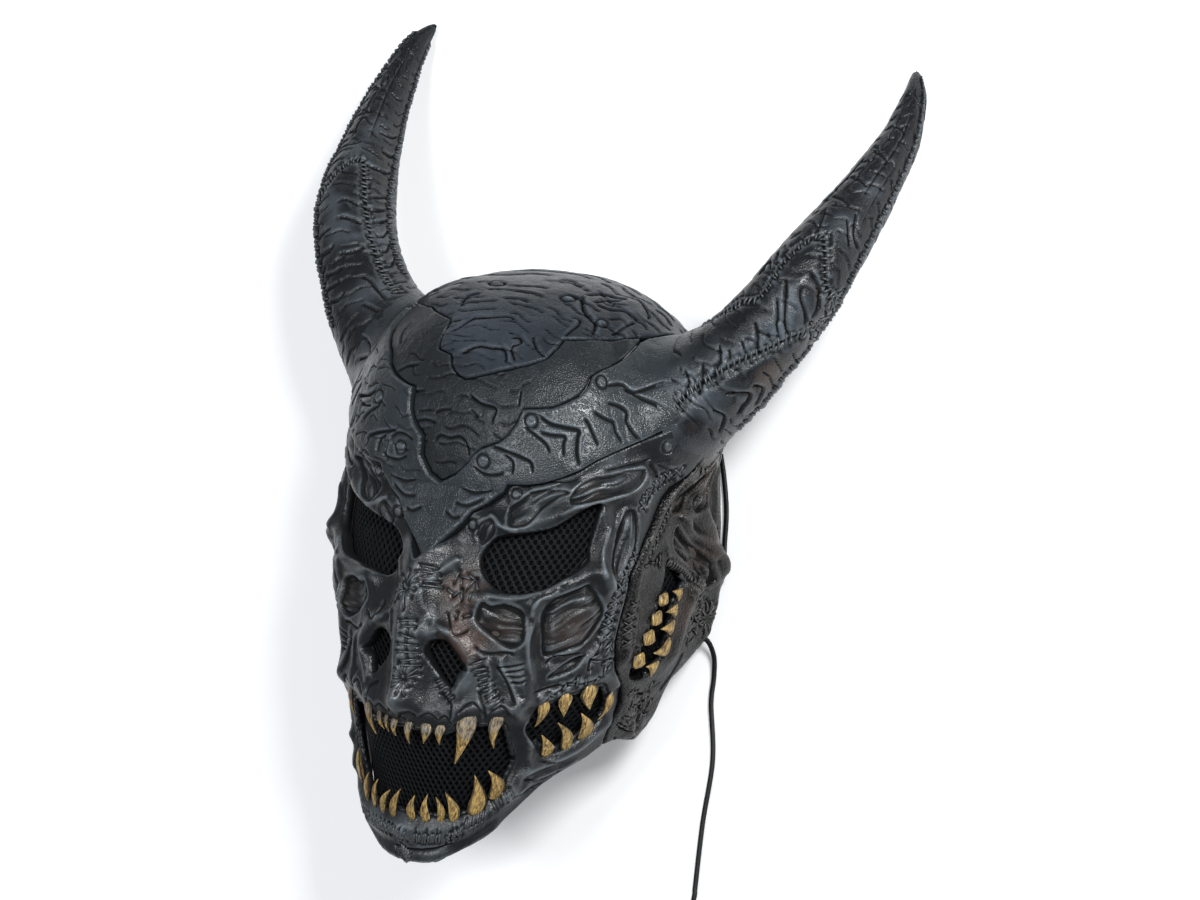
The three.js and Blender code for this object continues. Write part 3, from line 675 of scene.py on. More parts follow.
class Nodes:
    """Short ways to add and link shader nodes."""

    def __init__(self, name):
        self.material = bpy.data.materials.new(name)
        self.material.use_nodes = True
        self.tree = self.material.node_tree
        self.shader = self.tree.nodes["Principled BSDF"]
        self.place = self.add("ShaderNodeTexCoord").outputs["Object"]

    def put(self, value, socket):
        """Links another node's output to a socket, or sets it to a plain value."""
        if isinstance(value, bpy.types.NodeSocket):
            self.tree.links.new(value, socket)
        else:
            socket.default_value = value

    def add(self, kind, inputs=(), **settings):
        node = self.tree.nodes.new(kind)
        for name, value in settings.items():
            setattr(node, name, value)
        for name, value in dict(inputs).items():
            self.put(value, node.inputs[name])
        return node

    def noise(self, size, detail=3, roughness=0.55, stretch=None):
        """Noise about size millimetres from bump to bump."""
        place = self.place
        if stretch:
            mapping = self.add("ShaderNodeMapping", {"Vector": place, "Scale": stretch})
            place = mapping.outputs["Vector"]
        return self.add("ShaderNodeTexNoise", {
            "Vector": place, "Scale": 1 / (size * MM), "Detail": detail, "Roughness": roughness,
        }).outputs["Fac"]

    def cells(self, size):
        """The distance from the middle of the nearest cell, cells about size millimetres wide."""
        inputs = {"Vector": self.place, "Scale": 1 / (size * MM)}
        return self.add("ShaderNodeTexVoronoi", inputs).outputs["Distance"]

    def ramp(self, value, *stops):
        """A value remapped through (position, grey) stops."""
        node = self.add("ShaderNodeValToRGB", {"Fac": value})
        ends = node.color_ramp.elements
        for i, (position, grey) in enumerate(stops):
            stop = ends[i] if i < 2 else ends.new(position)
            stop.position = position
            stop.color = (grey, grey, grey, 1)
        return node.outputs["Color"]

    def mix(self, share, low, high):
        """The colour that is a share of the way from low to high."""
        node = self.add("ShaderNodeMix", data_type="RGBA")
        for number, value in ((0, share), (6, low), (7, high)):
            self.put(value, node.inputs[number])
        return node.outputs[2]

    def compute(self, operation, *values):
        return self.add("ShaderNodeMath", dict(enumerate(values)), operation=operation).outputs[0]

    def attribute(self, name):
        return self.add("ShaderNodeAttribute", attribute_name=name).outputs["Fac"]

    def bump(self, height, strength, distance, base=None):
        inputs = {"Height": height, "Strength": strength, "Distance": distance * MM}
        if base:
            inputs["Normal"] = base
        return self.add("ShaderNodeBump", inputs).outputs["Normal"]

    def set(self, **values):
        """Gives the shader its values, named as its sockets with _ for a space."""
        for name, value in values.items():
            self.put(value, self.shader.inputs[name.replace("_", " ")])


def leather(name, dark, body, worn_and_sheen, warm, grain=1.1, pebble=0.2, wrinkle=0.3, specular=0.45):
    """Carved leather: dark and matt in its cuts, its dark finish there deepened by painted shade,
    lighter on its ridges, its wear there with a painted highlight, in places tinted warm, and where its
    tint is below zero given pale patches of painted sheen. Pebble and wrinkle are how deep its grain
    stands."""
    nodes = Nodes(name)
    relief = nodes.attribute("relief")
    tint = nodes.attribute("tint")
    patches = nodes.ramp(nodes.noise(38, 4), (0.35, 0), (0.68, 1))
    mottling = nodes.ramp(nodes.noise(3.2, 4, 0.7), (0.3, 0), (0.75, 0.4))
    colour = nodes.mix(patches, linear(body), linear([c * 0.72 for c in body]))
    colour = nodes.mix(tint, colour, linear(warm))
    # Painted sheen: a tint below zero turns the colour towards the pale one.
    colour = nodes.mix(nodes.compute("MULTIPLY", tint, -1), colour, linear(worn_and_sheen))
    colour = nodes.mix(mottling, colour, linear([c * 0.62 for c in body]))
    low = nodes.ramp(relief, (0.18, 1), (0.49, 0))
    high = nodes.ramp(relief, (0.58, 0), (0.95, 1))
    # Painted shade: the colour goes to the dark one in the cuts, where shade falls, over the leather's
    # dark finish.
    colour = nodes.mix(low, colour, linear(dark))
    # Painted highlight: the ridges go towards the pale colour, which is real wear and a painted sheen
    # together.
    colour = nodes.mix(high, colour, linear(worn_and_sheen))
    pores = nodes.ramp(nodes.cells(grain), (0.15, 1), (0.62, 0))
    creases = nodes.ramp(nodes.noise(4.5, 3, 0.6), (0.45, 1), (0.5, 0), (0.55, 1))
    normal = nodes.bump(pores, 0.6, pebble)
    normal = nodes.bump(nodes.noise(2.6, 3, 0.55), 0.4, wrinkle, normal)
    normal = nodes.bump(creases, 0.4, 0.5 * wrinkle, normal)
    uneven = nodes.ramp(nodes.noise(7, 4, 0.6), (0.3, 0.24), (0.7, 0.42))
    matt = nodes.ramp(relief, (0.2, 1), (0.49, 0))
    nodes.set(
        Base_Color=colour,
        Roughness=nodes.compute("MAXIMUM", uneven, matt),
        Normal=normal,
        Specular_IOR_Level=specular,
    )
    return nodes.material


def plain(name, colour, roughness, grain=1.5, specular=0.5):
    """A plain material with a little grain, darker in patches."""
    nodes = Nodes(name)
    spread = nodes.ramp(nodes.noise(grain * 3, 4), (0.3, 0), (0.7, 1))
    nodes.set(
        Base_Color=nodes.mix(spread, linear(colour), linear([c * 0.55 for c in colour])),
        Roughness=roughness,
        Specular_IOR_Level=specular,
        Normal=nodes.bump(nodes.noise(grain, 3), 0.4, 0.3),
    )
    return nodes.material


def gilded(name):
    """Teeth of leather rubbed with gold over a dark ground, greyer at the root, with painted shade at
    their sides and in their flutes.
    """
    nodes = Nodes(name)
    streaks = nodes.ramp(nodes.noise(1, 4, 0.65, stretch=(1, 0.2, 1)), (0.36, 0), (0.6, 1))
    rubbed = nodes.ramp(nodes.noise(1.8, 4, 0.65, stretch=(1, 0.4, 1)), (0.3, 0), (0.5, 1))
    tip = nodes.attribute("tint")
    gold = nodes.mix(streaks, linear((62, 48, 26)), linear((176, 145, 84)))
    ground = nodes.mix(streaks, linear((34, 35, 35)), linear((112, 111, 107)))
    share = nodes.ramp(nodes.compute("MULTIPLY_ADD", rubbed, 0.45, tip), (0.3, 0), (0.95, 1))
    # Painted shade: a low relief turns the colour dark brown.
    painted_shade = nodes.ramp(nodes.attribute("relief"), (0.2, 1), (0.5, 0))
    colour = nodes.mix(painted_shade, nodes.mix(share, ground, gold), linear((34, 28, 22)))
    nodes.set(
        Base_Color=colour,
        Roughness=nodes.ramp(nodes.noise(3, 3), (0.3, 0.34), (0.7, 0.55)),
        Metallic=nodes.ramp(share, (0.2, 0), (0.9, 0.35)),
        Normal=nodes.bump(streaks, 0.8, 0.5),
    )
    return nodes.material


# Colours, 0 to 255: the leather in its cuts, with painted shade there, its body, its wear with a
# painted sheen, and warm
face_leather = leather(
    "face_leather", (2, 3, 3), (23, 26, 28), (80, 86, 90), (88, 68, 59), pebble=0.12, wrinkle=0.15,
    specular=0.32,
)
side_leather = leather(
    "side_leather", (2, 2, 2), (8, 7, 7), (50, 46, 44), (62, 46, 37), grain=1.4, pebble=0.4,
    specular=0.3,
)
brow_leather = leather(
    "brow_leather", (2, 3, 3), (40, 46, 50), (78, 85, 91), (60, 48, 42), pebble=0.2, wrinkle=0.1,
    specular=0.36,
)
keystone_leather = leather(
    "keystone_leather", (2, 3, 3), (34, 38, 41), (68, 74, 79), (40, 36, 34), wrinkle=0.1,
    specular=0.22,
)
crown_leather = leather(
    "crown_leather", (2, 2, 3), (35, 40, 45), (70, 76, 83), (40, 36, 34), wrinkle=0.15, specular=0.12,
)
horn_leather = leather(
    "horn_leather", (2, 2, 3), (17, 20, 23), (76, 83, 89), (82, 66, 57), wrinkle=0.18, specular=0.3,
)
lining_leather = plain("lining_leather", (60, 50, 42), 0.8)
# The threads are coloured lighter than the dark thread itself, a painted highlight on them.
thread_wax_and_sheen = plain("thread_wax_and_sheen", (66, 70, 73), 0.3, 0.6)
side_thread = plain("side_thread", (44, 42, 40), 0.35, 0.6)
lace_leather = plain("lace_leather", (9, 9, 9), 0.5, specular=0.3)
mesh_cloth = plain("mesh_cloth", (3, 3, 4), 0.9, 0.5, specular=0.1)
mesh_strand = plain("mesh_strand", (6, 8, 10), 0.6, 0.4, specular=0.15)
tooth_gold = gilded("tooth_gold")


# Meshes
def make_object(name, corners, faces, material, node=None, attributes=(), smooth=True):
    """A mesh object that rides with the mask and may stand for a node or nodes of the part."""
    mesh = bpy.data.meshes.new(name)
    mesh.from_pydata(np.asarray(corners, float).tolist(), [], faces)
    mesh.update()
    if smooth:
        mesh.shade_smooth()
    for key, values in dict(attributes).items():
        layer = mesh.attributes.new(key, "FLOAT", "POINT")
        layer.data.foreach_set("value", np.asarray(values, np.float32))
    for one in material if isinstance(material, list) else [material]:
        mesh.materials.append(one)
    made = bpy.data.objects.new(name, mesh)
    bpy.context.scene.collection.objects.link(made)
    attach(made, "root")
    if node:
        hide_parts(*([node] if isinstance(node, str) else node))
    return made


def give_second_material(made, first_face):
    """Gives an object's second material to its faces from first_face on."""
    slots = np.zeros(len(made.data.polygons), np.int32)
    slots[first_face:] = 1
    made.data.polygons.foreach_set("material_index", slots)


def tube_faces(rings, sides, first=0):
    """The faces of a tube whose corners come ring by ring, from corner number first."""
    return [
        [first + r * sides + k, first + r * sides + (k + 1) % sides,
         first + (r + 1) * sides + (k + 1) % sides, first + (r + 1) * sides + k]
        for r in range(rings - 1) for k in range(sides)
    ]


def end_faces(rings, sides):
    """The two faces that close such a tube."""
    return [list(range(sides))[::-1], list(range((rings - 1) * sides, rings * sides))]


def trimmed(sheet):
    """The grid trimmed to where its depth is above zero. Gives flat corners with their lifts and
    tints, the faces, and the cut edges as pairs of corners with the leather on their left."""
    keep = sheet.depth > 0
    lift = sheet.lift + sheet.base
    number = np.full(keep.shape, -1)
    number[keep] = np.arange(keep.sum())
    grid = np.stack([sheet.x, sheet.y, lift, sheet.tint, sheet.relief], -1)
    flat = [grid[keep]]
    a, b, c, d = keep[:-1, :-1], keep[1:, :-1], keep[1:, 1:], keep[:-1, 1:]
    whole = a & b & c & d
    faces = np.stack([
        number[:-1, :-1][whole], number[1:, :-1][whole], number[1:, 1:][whole],
        number[:-1, 1:][whole],
    ], -1).tolist()
    crossings = {}
    extra = []

    def crossing(p, q):
        key = (min(p, q), max(p, q))
        if key not in crossings:
            p, q = key
            share = sheet.depth[p] / (sheet.depth[p] - sheet.depth[q])
            crossings[key] = int(keep.sum()) + len(extra)
            extra.append(grid[p] + (grid[q] - grid[p]) * share)
        return crossings[key]

    edges = []
    for i, j in np.argwhere((a | b | c | d) & ~whole):
        ring = [(i, j), (i + 1, j), (i + 1, j + 1), (i, j + 1)]
        walk = []
        for p, q in zip(ring, ring[1:] + ring[:1]):
            if keep[p]:
                walk.append((int(number[p]), False))
            if keep[p] != keep[q]:
                walk.append((crossing(p, q), True))
        faces.append([corner for corner, _ in walk])
        for (p, p_cut), (q, q_cut) in zip(walk, walk[1:] + walk[:1]):
            if p_cut and q_cut:
                edges.append((p, q))
    return np.concatenate(flat + ([np.array(extra)] if extra else [])), faces, edges


def inward_of(sheet, points):
    """Unit directions at flat points, pointing into the leather."""
    i = np.clip(((points[:, 0] - sheet.low[0]) / sheet.step).astype(int), 1, sheet.x.shape[0] - 3)
    j = np.clip(((points[:, 1] - sheet.low[1]) / sheet.step).astype(int), 1, sheet.x.shape[1] - 3)
    dx = sheet.depth[i + 2, j] - sheet.depth[i - 1, j]
    dy = sheet.depth[i, j + 2] - sheet.depth[i, j - 1]
    way = np.stack([dx, dy], -1)
    return way / np.maximum(np.linalg.norm(way, axis=1, keepdims=True), 1e-6)


def relief_of(sheet):
    """How far each point stands out of the leather round it, 0.5 where it is level."""
    level = blurred(sheet.lift, round(RELIEF_REACH / sheet.step))
    return 0.5 + (sheet.lift - level) * RELIEF_SCALE


def shell(name, sheet, material, node):
    """Makes a carved sheet into a piece of leather: its face, its cut edges and its lining."""
    sheet.relief = relief_of(sheet)
    inside = np.clip(sheet.depth, 0, EDGE_ROUND)
    sheet.lift -= EDGE_ROUND - np.sqrt(EDGE_ROUND**2 - (EDGE_ROUND - inside) ** 2)
    rubbed_edge = 0.15 * (sheet.depth < 1.4) * (sheet.depth > 0.3)
    sheet.relief = np.clip(sheet.relief + rubbed_edge, 0, 1)
    outer, faces, edges = trimmed(sheet)
    cut_corners = sorted({p for edge in edges for p in edge})
    turned = {p: k for k, p in enumerate(cut_corners)}
    border = outer[cut_corners]
    inward = inward_of(sheet, border)
    rings = [outer]
    offset = len(outer)
    previous = {p: p for p in cut_corners}
    for drop, shift in ((EDGE_STEP, 0), (math.inf, 0), (math.inf, FLANGE)):
        ring = border.copy()
        ring[:, 2] = np.maximum(ring[:, 2] - drop, -WALL)
        ring[:, :2] += inward * shift
        ring[:, 4] = EDGE_RELIEF
        rings.append(ring)
        current = {p: offset + turned[p] for p in cut_corners}
        for p, q in edges:
            faces.append([previous[q], previous[p], current[p], current[q]])
        previous = current
        offset += len(ring)
    corners = np.concatenate(rings)
    lining, lining_faces = lining_of(sheet)
    points = np.concatenate([sheet.chart.points(*corners[:, :3].T), lining])
    points[:, 2] = np.maximum(points[:, 2], 0)
    faces += [[corner + offset for corner in face] for face in lining_faces]
    lining_looks = np.tile((0, LINING_RELIEF), (len(lining), 1))
    tint, relief = np.concatenate([corners[:, 3:5], lining_looks]).T
    made = make_object(
        name, points, faces, [material, lining_leather], node, {"relief": relief, "tint": tint},
    )
    give_second_material(made, len(faces) - len(lining_faces))


def lining_of(sheet):
    """The points and faces of a coarse plain sheet under the carved one, facing inwards."""
    skip = round(COARSE / sheet.step)
    coarse = copy.copy(sheet)
    for key in ("x", "y", "depth", "tint", "relief"):
        setattr(coarse, key, getattr(sheet, key)[::skip, ::skip])
    coarse.depth = coarse.depth - LINING_INSET
    coarse.lift = np.full(coarse.x.shape, LINING_GAP - WALL)
    coarse.base = np.zeros(coarse.x.shape)
    corners, faces, _ = trimmed(coarse)
    return sheet.chart.points(*corners[:, :3].T), [face[::-1] for face in faces]


def seam_lining(name, seam):
    """A thin strip of lining between the cut edges of a seam, so that no light comes through."""
    line = curve_through(AroundHead.flat(seam))
    along = np.gradient(line, axis=0)
    along /= np.linalg.norm(along, axis=1, keepdims=True)
    across = np.stack([along[:, 1], -along[:, 0]], -1) * SEAM_GAP * 0.6
    rings = [
        AroundHead.points(*(line + side * across).T, np.full(len(line), -share * WALL))
        for side, share in ((1, 0.5), (-1, 0.5), (-1, 0.9), (1, 0.9))
    ]
    corners = np.stack(rings, 1).reshape(-1, 3)
    faces = tube_faces(len(line), 4) + end_faces(len(line), 4)
    make_object(name, corners, faces, lining_leather, smooth=False)


# Where the leather rises onto the horns, as in the part's source
HORN_TURN, HORN_RISE = 95, 108
HORN_PAD = 54
HORN_PAD_EDGE = 12
HORN_PAD_LIFT = 3
HORN_BLEND = 16
HORN_CLIMB = 14

# How far each plate stands out, and the brow plate's swell along the brow groove
BROW_LIFT = 3.5
BROW_SWELL = 1.5
BROW_SWELL_WIDTH = 14
KEYSTONE_LIFT = 0.8
CROWN_LIFT = 1

# The main forms, as in the part's source: width and height, then the places of each
CHEEKBONE = (14, 3.5, (66, 46), (64, 24), (60, 4))
FACE_FORMS = [
    CHEEKBONE,
    (6, 4, (11, 41), (20, 38), (32, 42), (42, 48.5), (52, 54), (60, 57), (68, 60)),
    (4, 2.5, (22, 54), (40, 57), (56, 63), (66, 66)),
    (5, 3, (16, 2), (24, 0.5), (34, 2), (44, 9), (52, 15), (57, 10)),
    (5, 3, (36, -2), (35, -20), (36, -40), (39, -52)),
    (5, 3, (53, 44), (55, 30), (54, 17), (57, 6)),
    (4, 2.5, (61, 40), (63, 28), (60, 12)),
    (10, 3, (49, -2), (48, -22)),
    (7, -2.5, (25, -5), (26, -17)),
    (4, -2, (40, -4), (40, -28), (52, -30), (60, -12)),
    (11, 6, (0, 20), (0, -10), (0, -50)),
    (4, 3, (6, -18), (13, -18), (20, -32), (17, -48)),
    (7, 3.5, (0, -58), (14, -60), (24, -56), (36, -56)),
    (4, 2.5, (36, -56), (43, -72), (44, -90), (40, -106)),
    (4, 2.5, (44, -52), (60, -44), (67, -50)),
    (4, 2.5, (46, -92), (60, -84), (69, -74)),
    (6, 3, (0, -127), (20, -126), (34, -118), (42, -106)),
    (4, 2, (0, -144), (22, -140), (40, -124)),
]
SIDE_FORMS = [
    CHEEKBONE,
    (4, 2.5, (86, 66), (78, 46), (72, 28), (68, 10), (68, -12), (68, -36)),
    (4, 3, (86, 36), (95, 26), (101, 10), (97, -6), (90, -8)),
    (5, -3, (90, 28), (94, 12), (90, 0)),
    (4, 3, (91, 56), (96, 34), (106, 8), (112, -12)),
    (4, -3, (85, 52), (84, 40), (90, 44)),
    (6, 3, (90, -6), (88, -24), (86, -42)),
    (7, 4, (106, 4), (108, -20), (104, -38)),
    (6, 3, (72, -60), (76, -72), (82, -84)),
    (3, -2.5, (80, -70), (83, -84)),
    (6, 4, (108, 62), (116, 70)),
]


def split(row):
    """The sizes of a row, and its places."""
    sizes = [value for value in row if not isinstance(value, tuple)]
    return sizes, [value for value in row if isinstance(value, tuple)]


def on_sheet(sheet, tool, rows):
    """Works a tool along each row of sizes and places."""
    for row in rows:
        tool(sheet, *row)


def on_both_sides(sheet, tool, rows):
    """Works a tool along each row of sizes and places, and along its mirror image."""
    for row in rows:
        sizes, places = split(row)
        tool(sheet, *sizes, *places)
        tool(sheet, *sizes, *mirrored(places))


def flesh_out(sheet, muscles):
    """Carves each muscle and its mirror image."""
    for depth, swell, seed, guide, ring in muscles:
        muscle(sheet, depth, swell, seed, guide, ring)
        muscle(sheet, depth, swell, seed, mirrored(guide), mirrored(ring))


# The finer carving of the plates. Each cut: its depth and bevel, then its places. Each disc: its
# radius and place. Each stain, or below zero patch of painted sheen: its strength, radius and place.
BROW_CUTS = [
    (1.8, 1.1, (29.5, 98), (34, 93), (39, 91), (44, 89), (43.5, 85), (43, 77), (44, 69.5)),
    (1.5, 0.7, (25, 91), (29, 86.5), (32.5, 82), (34, 77)),
    (1.5, 0.7, (30, 88.5), (34, 87), (39, 86), (38.5, 82), (38.5, 75)),
    (1.5, 0.6, (46, 95.5), (47.5, 93), (49, 87), (50.5, 80.5)),
    (1.5, 0.7, (49.5, 99), (54, 94.5), (57, 92), (57.5, 87), (59.5, 80.5)),
    (1.7, 0.8, (55, 103), (60, 100.5), (62.5, 96.5), (62, 91.5), (64, 84.5), (66, 81)),
    (1.7, 0.8, (56, 112), (62.5, 112), (66, 107), (69, 102.5), (72.5, 97.5), (74, 92.5)),
    (1.5, 0.7, (62, 110), (67.5, 106.5), (75.5, 107), (76.5, 102), (78.5, 91)),
    (1.5, 0.6, (82, 111), (83, 106), (82.5, 98)),
    (1.5, 0.7, (92, 113), (93.5, 106), (92.5, 98)),
    (1.5, 0.6, (18.5, 76), (21.5, 72), (21.5, 65.5)),
    (1.7, 0.8, (14, 80), (18, 78), (24, 75), (27.5, 72), (28, 66)),
    (1.4, 0.5, (5.5, 56), (9, 53), (13, 54.5), (15.5, 57)),
    (1.4, 0.5, (4.5, 47), (8, 46), (11, 48.5), (13, 51)),
    (1.4, 0.5, (2.5, 42), (5, 39), (7, 40.5)),
    (1.4, 0.5, (9, 68), (12.5, 64.5), (17, 65), (19, 67)),
]
BROW_DISCS = [(3.6, (12, 71)), (3.8, (27.5, 94)), (3.8, (55, 114.5))]
FAR_BROW_CUTS = [
    (1.2, 0.8, (-17, 74), (-14.5, 78), (-11, 78.5), (-7.5, 76)),
    (1.1, 0.7, (-17, 74), (-17.5, 67), (-16, 62)),
]
KEYSTONE_CUTS = [
    (1.4, 0.8, (4.8, 106.5), (9.2, 101.5), (14.5, 99.5), (13.8, 92.5), (14.5, 90.5)),
    (1.1, 0.5, (-2.2, 76.5), (-0.8, 81), (1.2, 80.5), (4, 82), (6.2, 78), (7, 71)),
    (1, 0.4, (-3.2, 92.5), (-1, 95), (1, 96)),
    (1, 0.4, (6.2, 97.5), (8.2, 95), (9, 93)),
    (1.2, 0.6, (23.5, 111), (23, 105), (22.8, 101.5)),
    (1.1, 0.5, (-32.5, 125), (-39, 133), (-39, 140.5)),
    (1.1, 0.5, (-25.5, 109.5), (-20, 115.5), (-14.2, 118)),
    (1.1, 0.5, (-17.2, 95.5), (-13, 101.5), (-7.8, 104)),
    (1, 0.4, (-9, 86), (-5.5, 88), (-2, 87)),
]
CROWN_CUTS = [
    (1.2, 0.6, (-16.5, 161), (-22.2, 167.5), (-24, 173), (-17.8, 177.5)),
    (1.2, 0.6, (-9.8, 140), (-6.2, 147), (-3.5, 154), (-1, 155.5), (6, 158), (14, 159.5), (19.8, 155)),
    (1.4, 0.7, (-1, 127.5), (1.8, 133), (5.2, 135.5), (9.5, 135), (15, 135), (16.8, 130), (16.8, 125)),
    (1.2, 0.5, (16.8, 142), (20.8, 144), (22.5, 140), (18.8, 137), (19, 133), (21, 126.5)),
    (1.1, 0.4, (28.2, 146), (28.2, 141.5), (30, 135.5), (33.5, 131)),
    (1.2, 0.5, (42.8, 144.5), (51.8, 153), (53.8, 157.5), (49, 159.5)),
    (1.4, 0.7, (70.8, 179), (60.5, 165.5), (61, 158.5), (62, 152), (57, 144)),
    (1.4, 0.7, (71.8, 179), (88.2, 177.5), (93, 173.5), (93.5, 168.5), (98, 164)),
    (1.2, 0.5, (71.8, 171), (83.5, 170.5), (91.2, 164.5)),
    (1.2, 0.5, (71.8, 170), (78.2, 162.5), (83.5, 157.5), (86, 151.5), (87.5, 146)),
    (1.2, 0.5, (66.8, 143.5), (75, 145.5), (84.8, 148)),
    (1.2, 0.5, (109.8, 168), (104.2, 158.5), (97.2, 149.5), (91.8, 146)),
]
CROWN_DISCS = [(3, (55.2, 177.5)), (3, (-27.8, 189.5)), (3, (66.2, 153))]
# Pale patches of painted sheen on the crown's front.
CROWN_SHEEN_PATCHES = [(-0.35, 26, (8, 142)), (-0.25, 20, (-10, 156))]

# Areas of wavy cuts: two opposite corners on the flat map, the gap between rows, and the length
# and depth of a cut
BROW_ROWS = [((-90, 62), (-22, 130), 9, 14, 0.7)]
KEYSTONE_ROWS = [((-52, 66), (38, 128), 9, 20, 0.7)]
CROWN_ROWS = [
    ((-95, 0), (95, 100), 9, 20, 0.9), ((-60, -80), (-8, -6), 8, 15, 0.7),
    ((-8, -30), (75, 0), 8, 18, 0.8), ((-30, -84), (60, -32), 8, 16, 0.7),
]

# The finer carving of the face and the sides. Each cord: its width and height, then its places.
FACE_DISCS = [(3, (22.3, 55)), (3, (74.6, 76)), (2.8, (10.2, 37))]
# Each muscle: depth, swell and seed, a line that its strands follow, and its outline
FACE_MUSCLES = [
    (1.5, 1.2, 101, [(18, 36), (26, 46), (34, 54), (43, 60)],
     [(20.8, 42.5), (21.8, 38.5), (24.2, 38), (28, 40), (31.5, 47.5), (36.2, 53.5), (40.2, 57),
      (34.8, 58), (28, 56.5), (24.2, 52), (20.8, 47.5)]),
    (1.4, 1.2, 104, [(37, 52), (48, 57), (58, 60.5), (71, 66)],
     [(40.5, 52.5), (42, 50.5), (47.8, 51.5), (54.8, 53.5), (63.2, 57), (67.5, 65.5),
      (62.8, 66.5), (54.8, 65), (47.5, 63), (41.8, 58)]),
    (1.9, 1.5, 107, [(14, -4), (20, -8), (27, -12.5), (37, -15)],
     [(19.2, 0), (22.2, -1.5), (26.8, -0.5), (32.2, -4), (33.8, -10), (34.5, -19),
      (31.2, -23.5), (25.8, -19), (19.5, -11), (18.2, -6)]),
    (2, 1.9, 110, [(36, -14), (43, -10), (49, -4), (58, 5)],
     [(50.8, 8.5), (54.2, 2), (57, -5.5), (57.2, -12), (53.8, -23), (49, -25), (42, -29),
      (40, -16.5), (38.5, -5), (41, 2.5), (48.2, 7.5)]),
    (1.7, 1.6, 113, [(63, 52), (62.5, 36), (61, 22), (58.5, 5)],
     [(61, 45), (64.5, 44), (65.5, 34.5), (64.8, 24), (62.5, 13), (60.5, 5), (57.8, 12),
      (57.5, 24), (58.5, 36)]),
    (2, 0.6, 116, [(43, -42), (48, -37), (55, -32)],
     [(44, -41), (46.5, -36.5), (50.5, -32.5), (54, -31), (52.5, -36), (49.2, -39.5)]),
    (1.2, 0.7, 119, [(11, 27), (14, 35), (17, 43)],
     [(12.2, 37), (15.8, 41), (17.5, 35), (14.5, 29), (12, 31)]),
]
FACE_CORDS = [
    (1.6, 1.4, (41.8, 8.5), (39.8, 4.5), (36.5, 2.5), (35.2, -2), (35.5, -8)),
    (1.4, 1, (37, 43.5), (43, 48.5), (52, 51), (62.5, 54.5)),
    (1.4, 1.2, (56, 40), (54, 30), (53.6, 20.5), (55, 11)),
    (1.3, 1.1, (14.2, 44), (17, 42), (20, 37.5), (25.2, 36)),
    (2.2, 1.9, (8.8, 21), (4.8, 11), (3.2, 4)),
    (1.7, 1.2, (6.2, -9), (4, -17), (3.6, -25)),
    (1.6, 1.2, (29, -26), (29.5, -34), (33, -44), (37, -55)),
    (1.8, 1.2, (17, 5), (24, 3), (31, 3.5), (39, 9), (46, 14)),
    (1.6, 1.2, (36.5, -8), (36, -20), (37.5, -32), (40, -44)),
    (1.6, 1.2, (59.5, 4), (60.5, -10), (58.5, -24), (54, -36)),
    (2, 1.2, (2, 5), (4, -6), (9, -14), (14, -17)),
    (1.8, 1.3, (20, -23), (25, -32), (27, -44), (28, -56)),
    (2.2, 1.4, (41, -100), (44, -94), (52, -91), (61, -85), (68, -74)),
    (1.6, 1.2, (43, -108), (48, -101), (56, -97), (64, -91)),
]
FACE_CUTS = [
    (1.1, 0.5, (52.5, 67), (59.5, 68.5), (66.8, 70), (71.2, 72)),
    (1, 0.5, (24.8, 60.5), (33.5, 62), (40.2, 62), (44.5, 64.5)),
    (1.2, 0.6, (20, -22), (23.5, -26.5), (30.8, -26), (33.2, -28)),
    (1.3, 0.5, (28, -34), (31.8, -33.5), (36.2, -31)),
    (1.3, 0.5, (30.2, -37), (33.2, -36), (36.5, -34)),
    (1.3, 0.5, (31, -38.8), (34.2, -39), (37, -37.6)),
    (1.3, 0.5, (32.5, -42), (35.5, -42), (37.4, -40.5)),
    (1.6, 0.9, (27.5, -32.5), (31.5, -41), (35.8, -54)),
    (1.2, 0.6, (27.8, -63), (26.2, -55), (23.5, -46.5)),
    (1.2, 0.6, (11, -49), (15.8, -54.5), (16.5, -64)),
    (1.2, 0.6, (9.5, -5.5), (10.8, -10), (13.8, -17.5), (16.8, -15.5), (17.8, -13.5)),
    (1.4, 0.8, (42.2, -34), (44.8, -29.5), (49.2, -29), (53.2, -29.5)),
    (1.4, 0.7, (44.2, -53.5), (48, -49), (53.8, -42)),
    (1.2, 0.6, (39, -49), (46, -46), (54, -46), (62, -43)),
    (1, 0.5, (26, 56), (32, 58), (38, 61)),
    (1.1, 0.6, (69, 70), (73, 60), (70, 50), (67, 44)),
    (1, 0.5, (72, 68), (78, 62), (80, 55)),
    (1.1, 0.6, (47, -88), (55, -90), (62, -86), (68, -80)),
    (1.1, 0.6, (44, -98), (50, -100), (58, -96)),
    (1, 0.5, (42, -106), (46, -106), (52, -102)),
    (1, 0.5, (-1.8, -66), (3.2, -60.5), (5.5, -64)),
    (1, 0.5, (5.5, -64), (9.2, -60.5), (12.5, -64)),
    (1, 0.5, (12.5, -64), (14.6, -61), (17, -66)),
    (1.1, 0.6, (18, -60), (22.5, -53), (27.5, -60)),
    (1.1, 0.6, (28, -60), (31.5, -54.5), (35, -60)),
]
